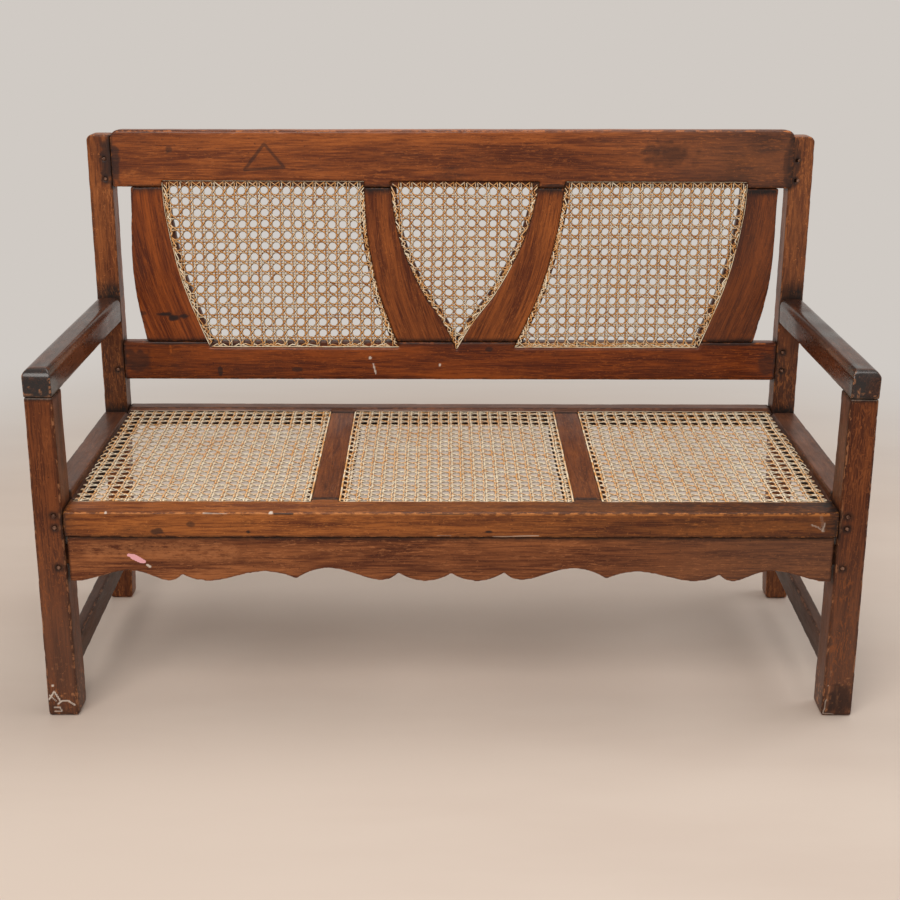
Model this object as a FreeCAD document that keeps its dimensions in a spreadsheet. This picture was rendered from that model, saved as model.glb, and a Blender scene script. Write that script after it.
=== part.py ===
import FreeCAD, Part
import math
import os
import re
from types import SimpleNamespace

import Sketcher

# Cane bench for three: a pegged hardwood frame with hand-caned seat and back.
# Millimetres. +Z is up, +X is to the sitter's left seen from the front, and the
# sitter faces -Y. The origin is on the floor under the middle of the bench.

# Driving sizes. Heights are from the floor; distances back are from the
# front face of the front legs, which is the plane of the bench's front.
SIZES = {
    "half_width": 700,
    "leg_top_width": 45,
    "leg_foot_width": 54,
    "leg_depth": 57,
    "leg_splay": 16,
    "foot_bevel": 3,
    "arm_underside": 593,
    "arm_height": 48,
    "arm_overhang": 2,
    "arm_rounding": 12,
    "post_setback": 480,
    "post_width": 45,
    "post_depth": 42,
    "post_lean": 51,
    "post_height": 955,
    "post_splay": 16,
    "post_rounding": 12,
    "seat_height": 408,
    "seat_drop": 13,
    "seat_ledge": 13,
    "seat_rebate": 3.6,
    "front_rail_height": 50,
    "front_rail_wear": 4,
    "front_rail_thickness": 55,
    "side_rail_height": 52,
    "side_ledge": 15,
    "side_gutter": 2,
    "ledge_thickness": 24,
    "back_rail_height": 31,
    "back_rail_thickness": 46,
    "cross_rail_width": 45,
    "cross_rail_height": 36,
    "cross_rail_offset": 226.5,
    "cross_rail_shift": 9,
    "apron_height": 83,
    "apron_thickness": 20,
    "apron_recess": 4,
    "apron_end_gap": 3.5,
    "tongue_height": 6,
    "tongue_thickness": 8,
    "stretcher_top": 125,
    "stretcher_rise": 21,
    "stretcher_height": 49,
    "stretcher_thickness": 22,
    "stretcher_outset": 11,
    "crest_bottom": 858,
    "crest_height": 107.5,
    "crest_thickness": 35,
    "crest_proud": 2,
    "crest_rounding": 18,
    "crest_edge_rounding": 5,
    "lower_rail_bottom": 475.5,
    "lower_rail_height": 77,
    "lower_rail_thickness": 30,
    "splat_thickness": 22,
    "splat_recess": 1,
    "splat_tenon_length": 12,
    "splat_tenon_thickness": 9,
    "back_ledge": 12.5,
    "crest_ledge": 12.5,
    "lower_ledge": 13,
    "back_rebate": 4.6,
    "back_shift": 8,
    "vee_shift_top": 27,
    "vee_shift_bottom": 12,
    "vee_tip_drop": 6,
    "tenon_length": 26,
    "tenon_thickness": 16,
    "tenon_shoulder": 6,
    "side_tenon_length": 17,
    "side_tenon_thickness": 14,
    "stretcher_tenon_thickness": 12,
    "arm_tenon_length": 22,
    "arm_tenon_height": 24,
    "leg_tenon_height": 26,
    "leg_tenon_side": 24,
    "front_tenon_inset": 10,
    "back_tenon_inset": 6,
    "rail_tenon_inset": 8,
    "peg_diameter": 7,
    "peg_length": 31,
    "peg_proud": 0.8,
    "peg_inset": 13,
    "back_peg_pitch": 38,
    "front_peg_pitch": 22,
    "crest_peg_rise": 33.7,
    "front_peg_drop": 21.5,
    "apron_peg_drop": 56,
    "joint_gap": 0.2,
    "cane_thickness": 2.4,
    "cane_gap": 0.4,
    "binder_width": 5,
    "binder_thickness": 1.2,
    "seat_net_pitch": 25,
    "back_net_pitch": 21.5,
    "seat_net_gap": 16,
    "back_net_gap": 13,
    "cut_overrun": 5,
}

# Curved sides of the caned openings in the back, listed from the bottom up as
# (share of the inner half width, share of the opening's height).
PANEL_OUTER_SHARES = [
    (0.748, 0), (0.781, 0.165), (0.809, 0.315), (0.830, 0.45),
    (0.8455, 0.59), (0.858, 0.735), (0.866, 0.87), (0.868, 1),
]
PANEL_INNER_SHARES = [
    (0.172, 0), (0.200, 0.13), (0.226, 0.257), (0.247, 0.38),
    (0.263, 0.508), (0.276, 0.63), (0.288, 0.80), (0.296, 1),
]
# The middle opening's side runs from the tip of the vee to the crest rail.
VEE_SHARES = [
    (0, 0), (0.036, 0.132), (0.066, 0.222), (0.1015, 0.315), (0.133, 0.42),
    (0.158, 0.52), (0.180, 0.613), (0.197, 0.715), (0.212, 0.84), (0.223, 1),
]
# The outer edge of the outer splats, upright above and drawn in below.
SPLAT_EDGE_SHARES = [
    (0.9215, -0.05), (0.9255, 0.03), (0.9425, 0.19), (0.955, 0.33),
    (0.9615, 0.46), (0.963, 0.62), (0.962, 1.05),
]

# Lower edge of the apron's right half, from the middle outwards. Every run
# starts and ends in a sharp notch or point, and is smooth between them.
# Points are (share of the half length, share of the height above the feet).
APRON_RUNS_SHARES = [
    [(0, 0.18), (0.066, 0.006), (0.140, 0.20)],
    [(0.140, 0.20), (0.158, 0.075), (0.184, 0.03), (0.245, 0.15), (0.322, 0.295),
     (0.375, 0.205), (0.407, 0.06)],
    [(0.407, 0.06), (0.448, 0.175), (0.488, 0.217), (0.560, 0.12),
     (0.620, 0.012), (0.668, 0.03), (0.706, 0.162)],
    [(0.706, 0.162), (0.722, 0.04), (0.738, 0.006), (0.785, 0.12), (0.843, 0.24),
     (0.900, 0.16), (0.970, 0)],
]

doc = FreeCAD.newDocument("cane_bench")
sheet = doc.addObject("Spreadsheet::Sheet", "sizes")
for row, (name, size) in enumerate(SIZES.items(), start=1):
    sheet.set("A%d" % row, name)
    sheet.set("B%d" % row, str(size))
    sheet.setAlias("B%d" % row, name)
doc.recompute()
at = SimpleNamespace(**{name: float(sheet.get(name)) for name in SIZES})

SIDES = (("left", 1), ("right", -1))
LENGTH_WORD = re.compile(r"[a-z_]+")


def bound(text):
    """The text of a size rule, with each size's name pointed at the sheet."""
    return LENGTH_WORD.sub(lambda word: "sizes." + word[0] if word[0] in SIZES else word[0], text)


# Rules shared by several pieces, as text for the sheet.
FRONT_TOP = "(seat_height - seat_drop)"
FRONT_TOP_WIDTH = "(front_rail_thickness - seat_ledge)"
POST_SLOPE = "(post_lean / post_height)"
POST_INNER = "(half_width - post_width)"
MIDDLE = "((post_setback + post_lean + post_depth - arm_overhang) / 2)"
LEAN_COS = "cos(atan(post_lean / post_height))"
LEAN_SIN = "sin(atan(post_lean / post_height))"


def post_front(height):
    return "(post_setback + %s * (%s))" % (POST_SLOPE, height)


def leg_inner(height):
    flare = "(leg_splay - leg_foot_width + leg_top_width)"
    return "(half_width - leg_top_width + %s * (arm_underside - (%s)) / arm_underside)" % (flare, height)


def post_inner(height):
    return "(%s + post_splay * (seat_height - (%s)) / seat_height)" % (POST_INNER, height)


def signed(side, rule):
    return "%d * (%s)" % (side, rule)


# The back rail's front edge and the seat's plane, which rises to the back.
BACK_RAIL_BACK = "(post_setback + %s * seat_height + post_depth)" % POST_SLOPE
BACK_RAIL_FRONT = "(%s - back_rail_thickness)" % BACK_RAIL_BACK
SEAT_BACK = "(%s + seat_ledge)" % BACK_RAIL_FRONT
SEAT_SLOPE = "(seat_drop / (%s - %s))" % (SEAT_BACK, FRONT_TOP_WIDTH)


def seat_plane(back):
    return "(%s + %s * (%s - %s))" % (FRONT_TOP, SEAT_SLOPE, back, FRONT_TOP_WIDTH)


def plane_of(body, role):
    return next(item for item in body.Origin.OriginFeatures if item.Role == role)


def new_body(name):
    body = doc.addObject("PartDesign::Body", name)
    body.Label = name
    return body


def new_sketch(body, role, offset):
    """A sketch on one of the body's origin planes, moved along +X, +Y or +Z."""
    sketch = body.newObject("Sketcher::SketchObject", body.Name + "_sketch")
    sketch.AttachmentSupport = [(plane_of(body, role), "")]
    sketch.MapMode = "FlatFace"
    toward = -1 if role == "XZ_Plane" else 1
    sketch.setExpression("AttachmentOffset.Base.z", bound(signed(toward, offset)))
    return sketch


def polygon(body, role, offset, corners):
    """A closed polygon whose corners are bound to the sheet."""
    sketch = new_sketch(body, role, offset)
    count = len(corners)
    turn = 2 * math.pi / count
    rough = [FreeCAD.Vector(math.cos(turn * i), math.sin(turn * i), 0) for i in range(count)]
    for i in range(count):
        sketch.addGeometry(Part.LineSegment(rough[i], rough[(i + 1) % count]))
    for i in range(count):
        sketch.addConstraint(Sketcher.Constraint("Coincident", i, 2, (i + 1) % count, 1))
    for i, corner in enumerate(corners):
        for kind, rule in zip(("DistanceX", "DistanceY"), corner):
            number = sketch.addConstraint(Sketcher.Constraint(kind, -1, 1, i, 1, 1.0))
            sketch.setExpression("Constraints[%d]" % number, bound(rule))
    return sketch


def rectangle(body, role, offset, low, high):
    corners = [low, (high[0], low[1]), high, (low[0], high[1])]
    return polygon(body, role, offset, corners)


def role_of(sketch):
    return sketch.AttachmentSupport[0][0].Role


def pad(body, sketch, length, forward=True, middle=False):
    """Adds stock from the sketch, toward +X, +Y or +Z when forward is set."""
    feature = body.newObject("PartDesign::Pad", body.Name + "_pad")
    feature.Profile = sketch
    feature.setExpression("Length", bound(length))
    feature.Midplane = middle
    feature.Reversed = forward != (role_of(sketch) != "XZ_Plane")
    doc.recompute()


def pocket(body, sketch, length, forward=True):
    """Cuts from the sketch, toward +X, +Y or +Z when forward is set."""
    before = body.Shape.Volume
    feature = body.newObject("PartDesign::Pocket", body.Name + "_pocket")
    feature.Profile = sketch
    feature.setExpression("Length", bound(length))
    feature.Reversed = forward != (role_of(sketch) == "XZ_Plane")
    doc.recompute()
    if not body.Shape.Volume < before:
        raise RuntimeError(body.Label + ": a pocket cuts nothing")


def dress(body, kind, size_name, rule, test, start=None):
    """A fillet or chamfer on edges whose ends all pass the test, one end the start test."""
    base = body.Tip
    names = []
    for number, edge in enumerate(base.Shape.Edges, start=1):
        ends = [vertex.Point for vertex in edge.Vertexes]
        if all(test(end) for end in ends) and (start is None or any(start(end) for end in ends)):
            names.append("Edge%d" % number)
    feature = body.newObject("PartDesign::" + kind, body.Name + "_" + kind.lower())
    feature.Base = (base, names)
    feature.setExpression(size_name, bound(rule))
    doc.recompute()


def close(one, other):
    return abs(one - other) < at.joint_gap / 2


def stand(item):
    """Puts an item measured from the bench's front into the shared frame."""
    item.setExpression("Placement.Base.y", bound("-" + MIDDLE))


LEAN_DEGREES = math.degrees(math.atan(at.post_lean / at.post_height))
MIDDLE_BACK = (at.post_setback + at.post_lean + at.post_depth - at.arm_overhang) / 2
LEANING = FreeCAD.Placement(
    FreeCAD.Vector(0, at.post_setback - MIDDLE_BACK, 0),
    FreeCAD.Rotation(FreeCAD.Vector(-1, 0, 0), LEAN_DEGREES),
)
STANDING = FreeCAD.Placement(FreeCAD.Vector(0, -MIDDLE_BACK, 0), FreeCAD.Rotation())


def lean(item):
    """Puts an item measured from the posts' front faces into the shared frame."""
    item.Placement = LEANING
    item.setExpression("Placement.Base.y", bound("post_setback - " + MIDDLE))


def lean_point(depth, rise):
    """Distance back and height of a point given in the leaning back's own frame."""
    back = "(post_setback + (%s) * %s + (%s) * %s)" % (rise, LEAN_SIN, depth, LEAN_COS)
    height = "((%s) * %s - (%s) * %s)" % (rise, LEAN_COS, depth, LEAN_SIN)
    return back, height


# Tenons of the leaning rails, as (depth, rise) limits in the back's own frame.
CREST_TENON = (
    ("rail_tenon_inset", "crest_bottom + tenon_shoulder"),
    ("rail_tenon_inset + tenon_thickness", "crest_bottom + crest_height - 3 * tenon_shoulder"),
)
LOWER_TENON = (
    ("rail_tenon_inset", "lower_rail_bottom + tenon_shoulder"),
    ("rail_tenon_inset + tenon_thickness", "lower_rail_bottom + lower_rail_height - tenon_shoulder"),
)

# Upright tenons, as (distance back, height) limits.
FRONT_TENON = (
    ("front_tenon_inset", FRONT_TOP + " - front_rail_height + tenon_shoulder"),
    ("front_tenon_inset + tenon_thickness", FRONT_TOP + " - tenon_shoulder"),
)
APRON_TOP = "(%s - front_rail_height)" % FRONT_TOP
APRON_TENON = (
    ("apron_recess + tenon_shoulder", APRON_TOP + " - apron_height / 2 - 2 * tenon_shoulder"),
    ("apron_recess + apron_thickness - tenon_shoulder", APRON_TOP + " - 3 * tenon_shoulder"),
)
BACK_TENON = (
    (BACK_RAIL_BACK + " - back_tenon_inset - tenon_thickness",
     "seat_height - back_rail_height + tenon_shoulder"),
    (BACK_RAIL_BACK + " - back_tenon_inset", "seat_height - tenon_shoulder"),
)

# Tenons that run front to back, as (distance out, height) limits.
SIDE_TENON_MIDDLE = "(half_width - post_width / 2)"
SIDE_TENON = (
    (SIDE_TENON_MIDDLE + " - side_tenon_thickness / 2",
     "seat_height - side_rail_height + tenon_shoulder"),
    (SIDE_TENON_MIDDLE + " + side_tenon_thickness / 2", "seat_height - 2 * tenon_shoulder"),
)
STRETCHER_INNER = "(%s + stretcher_outset)" % POST_INNER
STRETCHER_CHEEK = "((stretcher_thickness - stretcher_tenon_thickness) / 2)"
STRETCHER_LOW = "stretcher_top - stretcher_height + 2 * tenon_shoulder"
STRETCHER_HIGH = "stretcher_top - 2 * tenon_shoulder"


def stretcher_tenon(lift):
    inner = STRETCHER_INNER + " + " + STRETCHER_CHEEK
    return (
        (inner, STRETCHER_LOW + lift),
        (inner + " + stretcher_tenon_thickness", STRETCHER_HIGH + lift),
    )


ARM_TENON = (
    (SIDE_TENON_MIDDLE + " - side_tenon_thickness / 2",
     "arm_underside + (arm_height - arm_tenon_height) / 2"),
    (SIDE_TENON_MIDDLE + " + side_tenon_thickness / 2",
     "arm_underside + (arm_height + arm_tenon_height) / 2"),
)
LEG_TENON_OUT = "(half_width - leg_top_width / 2)"
LEG_TENON = (
    (LEG_TENON_OUT + " - leg_tenon_side / 2", "(leg_depth - leg_tenon_side) / 2"),
    (LEG_TENON_OUT + " + leg_tenon_side / 2", "(leg_depth + leg_tenon_side) / 2"),
)


def grown(limits):
    """Limits of the mortise round a tenon, one joint gap larger all round."""
    low, high = limits
    return tuple(rule + " - joint_gap" for rule in low), tuple(rule + " + joint_gap" for rule in high)


def mirrored(limits, side):
    """The same limits with distances out given a side."""
    return tuple((signed(side, out), height) for out, height in limits)


def lean_corners(limits):
    (near, low), (far, high) = limits
    return [lean_point(near, low), lean_point(far, low), lean_point(far, high), lean_point(near, high)]


pieces = {}


def front_leg(name, side):
    """Tapered leg, flush with the arm outside and wider at the foot, mortised for its rails."""
    body = new_body(name + "_blank")
    corners = [
        (signed(side, "half_width + arm_overhang"), "arm_underside"),
        (signed(side, "half_width - leg_top_width"), "arm_underside"),
        (signed(side, "half_width + leg_splay - leg_foot_width"), "0"),
        (signed(side, "half_width + leg_splay"), "0"),
    ]
    pad(body, polygon(body, "XZ_Plane", "0", corners), "leg_depth")
    dress(body, "Chamfer", "Size", "foot_bevel", lambda point: close(point.z, 0))
    tenon = rectangle(body, "XY_Plane", "arm_underside", *mirrored(LEG_TENON, side))
    pad(body, tenon, "leg_tenon_height")
    start = signed(side, "half_width - leg_top_width - cut_overrun")
    reach = "cut_overrun + leg_top_width - tenon_shoulder"
    for limits in (FRONT_TENON, APRON_TENON):
        pocket(body, rectangle(body, "YZ_Plane", start, *grown(limits)), reach, forward=side > 0)
    for limits in (SIDE_TENON, stretcher_tenon("")):
        hole = rectangle(body, "XZ_Plane", "leg_depth + cut_overrun", *mirrored(grown(limits), side))
        pocket(body, hole, "cut_overrun + side_tenon_length + joint_gap", forward=False)
    return body


def back_post(name, side):
    """One leaning timber from the floor to the crest, sawn wider at the foot."""
    body = new_body(name + "_blank")
    corners = [
        ("post_setback", "0"),
        ("post_setback + post_depth", "0"),
        ("post_setback + post_lean + post_depth", "post_height"),
        ("post_setback + post_lean", "post_height"),
    ]
    inner = signed(side, POST_INNER)
    pad(body, polygon(body, "YZ_Plane", inner, corners), "post_width + post_splay", forward=side > 0)
    far_back = "post_setback + post_lean + post_depth + cut_overrun"
    inside = [
        (signed(side, POST_INNER + " - cut_overrun"), "-cut_overrun"),
        (signed(side, post_inner("-cut_overrun")), "-cut_overrun"),
        (signed(side, POST_INNER), "seat_height"),
        (signed(side, POST_INNER + " - cut_overrun"), "seat_height"),
    ]
    pocket(body, polygon(body, "XZ_Plane", "0", inside), far_back)
    outside = [
        (signed(side, "half_width + post_splay + cut_overrun"), "0"),
        (signed(side, "half_width + post_splay"), "0"),
        (signed(side, "half_width"), "seat_height"),
        (signed(side, "half_width"), "post_height + cut_overrun"),
        (signed(side, "half_width + post_splay + cut_overrun"), "post_height + cut_overrun"),
    ]
    pocket(body, polygon(body, "XZ_Plane", "0", outside), far_back)
    on_top_corner = lambda point: close(point.z, at.post_height) and close(abs(point.x), at.half_width)
    dress(body, "Fillet", "Radius", "post_rounding", on_top_corner)
    dress(body, "Chamfer", "Size", "foot_bevel", lambda point: close(point.z, 0))
    start = signed(side, POST_INNER + " - cut_overrun")
    reach = "cut_overrun + tenon_length + joint_gap"
    for limits in (CREST_TENON, LOWER_TENON):
        hole = polygon(body, "YZ_Plane", start, lean_corners(grown(limits)))
        pocket(body, hole, reach, forward=side > 0)
    pocket(body, rectangle(body, "YZ_Plane", start, *grown(BACK_TENON)), reach, forward=side > 0)
    depths = (
        (ARM_TENON, post_front("arm_underside + arm_height / 2") + " + arm_tenon_length + joint_gap"),
        (SIDE_TENON, post_front("seat_height") + " + side_tenon_length + joint_gap"),
        (stretcher_tenon(" + stretcher_rise"),
         post_front("stretcher_top") + " + side_tenon_length + joint_gap"),
    )
    for limits, depth in depths:
        hole = rectangle(body, "XZ_Plane", "0", *mirrored(grown(limits), side))
        pocket(body, hole, depth)
    return body


def arm(name, side):
    """Flat arm with rounded top edges and a rounded nose."""
    body = new_body(name)
    top = "arm_underside + arm_height"
    corners = [
        ("-arm_overhang", "arm_underside + joint_gap"),
        (post_front("arm_underside + joint_gap") + " - joint_gap", "arm_underside + joint_gap"),
        (post_front(top) + " - joint_gap", top),
        ("-arm_overhang", top),
    ]
    inner = signed(side, "half_width - leg_top_width")
    width = "leg_top_width + arm_overhang"
    pad(body, polygon(body, "YZ_Plane", inner, corners), width, forward=side > 0)
    top_height = at.arm_underside + at.arm_height
    dress(body, "Fillet", "Radius", "arm_rounding",
          lambda point: close(point.z, top_height), lambda point: close(point.y, -at.arm_overhang))
    middle = "(arm_underside + arm_height / 2)"
    tenon = rectangle(body, "XZ_Plane", post_front(middle) + " - cut_overrun", *mirrored(ARM_TENON, side))
    pad(body, tenon, "cut_overrun + arm_tenon_length")
    hole = rectangle(body, "XY_Plane", "arm_underside", *mirrored(grown(LEG_TENON), side))
    pocket(body, hole, "leg_tenon_height + 2 * joint_gap")
    stand(body)
    return body


def leaning_rail(name, bottom, height, depth, thickness):
    """A rail of the back, with its tenons, in the leaning back's own frame."""
    body = new_body(name + "_blank")
    half = POST_INNER + " - joint_gap"
    top = "%s + %s" % (bottom, height)
    stock = rectangle(body, "XZ_Plane", depth, ("-(%s)" % half, bottom), (half, top))
    pad(body, stock, thickness)
    return body


def rail_tenons(body, limits):
    tenons = rectangle(body, "YZ_Plane", "0", *limits)
    pad(body, tenons, "2 * (%s + tenon_length)" % POST_INNER, middle=True)


def crest_rail():
    """The top rail, with a softened front edge."""
    body = leaning_rail("crest_rail", "crest_bottom", "crest_height", "-crest_proud",
                        "crest_thickness")
    top = at.crest_bottom + at.crest_height
    dress(body, "Fillet", "Radius", "crest_edge_rounding",
          lambda point: close(point.y, -at.crest_proud) and close(point.z, top))
    rail_tenons(body, CREST_TENON)
    lean(body)
    return body


def lower_back_rail():
    body = leaning_rail("lower_back_rail", "lower_rail_bottom", "lower_rail_height", "0",
                        "lower_rail_thickness")
    rail_tenons(body, LOWER_TENON)
    lean(body)
    return body


# Sideways limits of the three seat openings, left to right along +X.
CROSS_HALF = "(cross_rail_width / 2)"
SEAT_OPENINGS = (
    ("right", "-(%s - side_gutter)" % POST_INNER,
     "-cross_rail_offset + cross_rail_shift - " + CROSS_HALF),
    ("centre", "-cross_rail_offset + cross_rail_shift + " + CROSS_HALF,
     "cross_rail_offset + cross_rail_shift - " + CROSS_HALF),
    ("left", "cross_rail_offset + cross_rail_shift + " + CROSS_HALF,
     "%s - side_gutter" % POST_INNER),
)


def front_seat_rail():
    """The rail under the sitter's knees, grooved below for the apron."""
    body = new_body("front_seat_rail_blank")
    top = FRONT_TOP
    low = FRONT_TOP + " - front_rail_height"
    corners = [
        (signed(-1, leg_inner(low) + " - joint_gap"), low),
        (leg_inner(low) + " - joint_gap", low),
        (leg_inner(top) + " - joint_gap", top),
        (signed(-1, leg_inner(top) + " - joint_gap"), top),
    ]
    pad(body, polygon(body, "XZ_Plane", "0", corners), "front_rail_thickness")
    # The top is worn away towards the front edge.
    worn = [
        ("-cut_overrun", top + " - front_rail_wear * (1 + cut_overrun / %s)" % FRONT_TOP_WIDTH),
        (FRONT_TOP_WIDTH, top),
        ("-cut_overrun", top),
    ]
    pocket(body, polygon(body, "YZ_Plane", "-half_width", worn), "2 * half_width")
    tenons = rectangle(body, "YZ_Plane", "0", *FRONT_TENON)
    tenon_end = "leg_top_width - tenon_shoulder - joint_gap"
    pad(body, tenons, "2 * (half_width - leg_top_width + %s)" % tenon_end, middle=True)
    for _, low_x, high_x in SEAT_OPENINGS:
        rebate = rectangle(body, "XY_Plane", top, (low_x, FRONT_TOP_WIDTH),
                           (high_x, "front_rail_thickness + cut_overrun"))
        pocket(body, rebate, "seat_rebate", forward=False)
    tongue_front = "(apron_recess + (apron_thickness - tongue_thickness) / 2)"
    reach = leg_inner(low)
    groove = rectangle(
        body, "XY_Plane", low,
        (signed(-1, reach), tongue_front + " - joint_gap"),
        (reach, tongue_front + " + tongue_thickness + joint_gap"))
    pocket(body, groove, "tongue_height + joint_gap")
    for number in (-1, 1):
        centre = "%d * cross_rail_offset + cross_rail_shift" % number
        hole = rectangle(body, "XZ_Plane", "front_rail_thickness + cut_overrun",
                         *grown(cross_tenon(centre, FRONT_TOP, "cross_rail_height")))
        pocket(body, hole, "cut_overrun + side_tenon_length + joint_gap", forward=False)
    stand(body)
    return body


def cross_tenon(centre, top, height):
    """Limits of a cross rail's tenon in a rail of a given top and height."""
    low = top + " - %s + tenon_shoulder" % height
    return (
        (centre + " - side_tenon_thickness", low),
        (centre + " + side_tenon_thickness", top + " - seat_rebate - tenon_shoulder"),
    )


def back_seat_rail():
    body = new_body("back_seat_rail_blank")
    low = "seat_height - back_rail_height"
    corners = [
        (signed(-1, post_inner(low) + " - joint_gap"), low),
        (post_inner(low) + " - joint_gap", low),
        (POST_INNER + " - joint_gap", "seat_height"),
        (signed(-1, POST_INNER + " - joint_gap"), "seat_height"),
    ]
    pad(body, polygon(body, "XZ_Plane", BACK_RAIL_FRONT, corners), "back_rail_thickness")
    tenons = rectangle(body, "YZ_Plane", "0", *BACK_TENON)
    pad(body, tenons, "2 * (%s + tenon_length)" % POST_INNER, middle=True)
    for _, low_x, high_x in SEAT_OPENINGS:
        rebate = rectangle(body, "XY_Plane", "seat_height",
                           (low_x, BACK_RAIL_FRONT + " - cut_overrun"), (high_x, SEAT_BACK))
        pocket(body, rebate, "seat_rebate", forward=False)
    for number in (-1, 1):
        centre = "%d * cross_rail_offset + cross_rail_shift" % number
        hole = rectangle(body, "XZ_Plane", BACK_RAIL_FRONT + " - cut_overrun",
                         *grown(cross_tenon(centre, "seat_height", "back_rail_height")))
        pocket(body, hole, "cut_overrun + side_tenon_length + joint_gap")
    stand(body)
    return body


def side_seat_rail(name, side):
    """Level side rail with a lower ledge that carries the edge of the cane."""
    body = new_body(name + "_blank")
    low = "seat_height - side_rail_height"
    front = "leg_depth + joint_gap"
    corners = [
        (front, low),
        (post_front(low) + " - joint_gap", low),
        (post_front("seat_height") + " - joint_gap", "seat_height"),
        (front, "seat_height"),
    ]
    inner = signed(side, POST_INNER)
    pad(body, polygon(body, "YZ_Plane", inner, corners), "post_width", forward=side > 0)
    ledge_back = BACK_RAIL_FRONT + " - joint_gap"
    ledge = [
        (front, FRONT_TOP + " - seat_rebate - ledge_thickness"),
        (ledge_back, FRONT_TOP + " - seat_rebate - ledge_thickness"),
        (ledge_back, seat_plane(ledge_back) + " - seat_rebate"),
        (front, seat_plane(front) + " - seat_rebate"),
    ]
    sketch = polygon(body, "YZ_Plane", signed(side, POST_INNER + " - side_ledge"), ledge)
    pad(body, sketch, "side_ledge + tenon_shoulder", forward=side > 0)
    front_tenon = rectangle(body, "XZ_Plane", front + " - side_tenon_length", *mirrored(SIDE_TENON, side))
    pad(body, front_tenon, "side_tenon_length + cut_overrun")
    back_tenon = rectangle(body, "XZ_Plane", post_front(low) + " - cut_overrun",
                           *mirrored(SIDE_TENON, side))
    rise = "%s * side_rail_height" % POST_SLOPE
    pad(body, back_tenon, "cut_overrun + side_tenon_length + " + rise)
    stand(body)
    return body


def seat_cross_rail(name, number):
    """Rail between two seat openings, with a ledge along each side."""
    body = new_body(name)
    centre = "(%d * cross_rail_offset + cross_rail_shift)" % number
    front = "front_rail_thickness + joint_gap"
    back = BACK_RAIL_FRONT + " - joint_gap"
    low = FRONT_TOP + " - cross_rail_height"
    core = [(front, low), (back, low), (back, seat_plane(back)), (front, seat_plane(front))]
    sketch = polygon(body, "YZ_Plane", centre + " - " + CROSS_HALF, core)
    pad(body, sketch, "cross_rail_width")
    ledge = [
        (front, low), (back, low),
        (back, seat_plane(back) + " - seat_rebate"),
        (front, seat_plane(front) + " - seat_rebate"),
    ]
    sketch = polygon(body, "YZ_Plane", centre + " - %s - seat_ledge" % CROSS_HALF, ledge)
    pad(body, sketch, "cross_rail_width + 2 * seat_ledge")
    front_end = rectangle(body, "XZ_Plane", front + " - side_tenon_length",
                          *cross_tenon(centre, FRONT_TOP, "cross_rail_height"))
    pad(body, front_end, "side_tenon_length + cut_overrun")
    back_end = rectangle(body, "XZ_Plane", back + " - cut_overrun",
                         *cross_tenon(centre, "seat_height", "back_rail_height"))
    pad(body, back_end, "cut_overrun + side_tenon_length")
    stand(body)
    return body


def side_stretcher(name, side):
    """Low rail between leg and post, rising to the back."""
    body = new_body(name + "_blank")
    front = "leg_depth + joint_gap"
    top_back = "stretcher_top + stretcher_rise"
    corners = [
        (front, "stretcher_top - stretcher_height"),
        (post_front(top_back + " - stretcher_height") + " - joint_gap", top_back + " - stretcher_height"),
        (post_front(top_back) + " - joint_gap", top_back),
        (front, "stretcher_top"),
    ]
    inner = signed(side, STRETCHER_INNER)
    pad(body, polygon(body, "YZ_Plane", inner, corners), "stretcher_thickness", forward=side > 0)
    first = rectangle(body, "XZ_Plane", front + " - side_tenon_length",
                      *mirrored(stretcher_tenon(""), side))
    pad(body, first, "side_tenon_length + cut_overrun")
    second = rectangle(body, "XZ_Plane", post_front("stretcher_top") + " - cut_overrun",
                       *mirrored(stretcher_tenon(" + stretcher_rise"), side))
    pad(body, second, "cut_overrun + side_tenon_length")
    stand(body)
    return body


# Outlines in the leaning back's own frame: x out, z up, measured in its plane.
OPENING_LOW = at.lower_rail_bottom + at.lower_rail_height - at.lower_ledge
OPENING_HIGH = at.crest_bottom + at.crest_ledge
OPENING_HEIGHT = OPENING_HIGH - OPENING_LOW
INNER_HALF = at.half_width - at.post_width
VEE_LOW = OPENING_LOW - at.vee_tip_drop


def vee_middle(height):
    """Middle line of the vee, which stands a little out of true."""
    share = (height - VEE_LOW) / (OPENING_HIGH - VEE_LOW)
    return at.vee_shift_bottom + share * (at.vee_shift_top - at.vee_shift_bottom)


def flat(x, z):
    return FreeCAD.Vector(x, 0, z)


def side_line(shares, side, low, shift):
    """Points of one side of an opening, from the bottom up."""
    points = []
    for out_share, height_share in shares:
        height = low + height_share * (OPENING_HIGH - low)
        points.append(flat(side * out_share * INNER_HALF + shift(height), height))
    return points


def inset(points, distance):
    """The same points moved square to their line; positive moves toward +X."""
    moved = []
    for number, point in enumerate(points):
        before = points[max(number - 1, 0)]
        after = points[min(number + 1, len(points) - 1)]
        run = (after - before).normalize()
        moved.append(point + flat(run.z, -run.x) * distance)
    return moved


def curve(points):
    line = Part.BSplineCurve()
    line.interpolate(points)
    return line.toShape()


def straight(start, end):
    return Part.LineSegment(start, end).toShape()


def outer_side(side):
    return side_line(PANEL_OUTER_SHARES, side, OPENING_LOW, lambda height: at.back_shift)


def inner_side(side):
    return side_line(PANEL_INNER_SHARES, side, OPENING_LOW, vee_middle)


def vee_side(side):
    return side_line(VEE_SHARES, side, VEE_LOW, vee_middle)


def level_ends(points, low, high):
    """Slides the end points along their line to the two heights."""
    ends = list(points)
    for end, near, height in ((0, 1, low), (-1, -2, high)):
        share = (height - ends[near].z) / (ends[end].z - ends[near].z)
        ends[end] = ends[near] + (ends[end] - ends[near]) * share
    return ends


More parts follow.
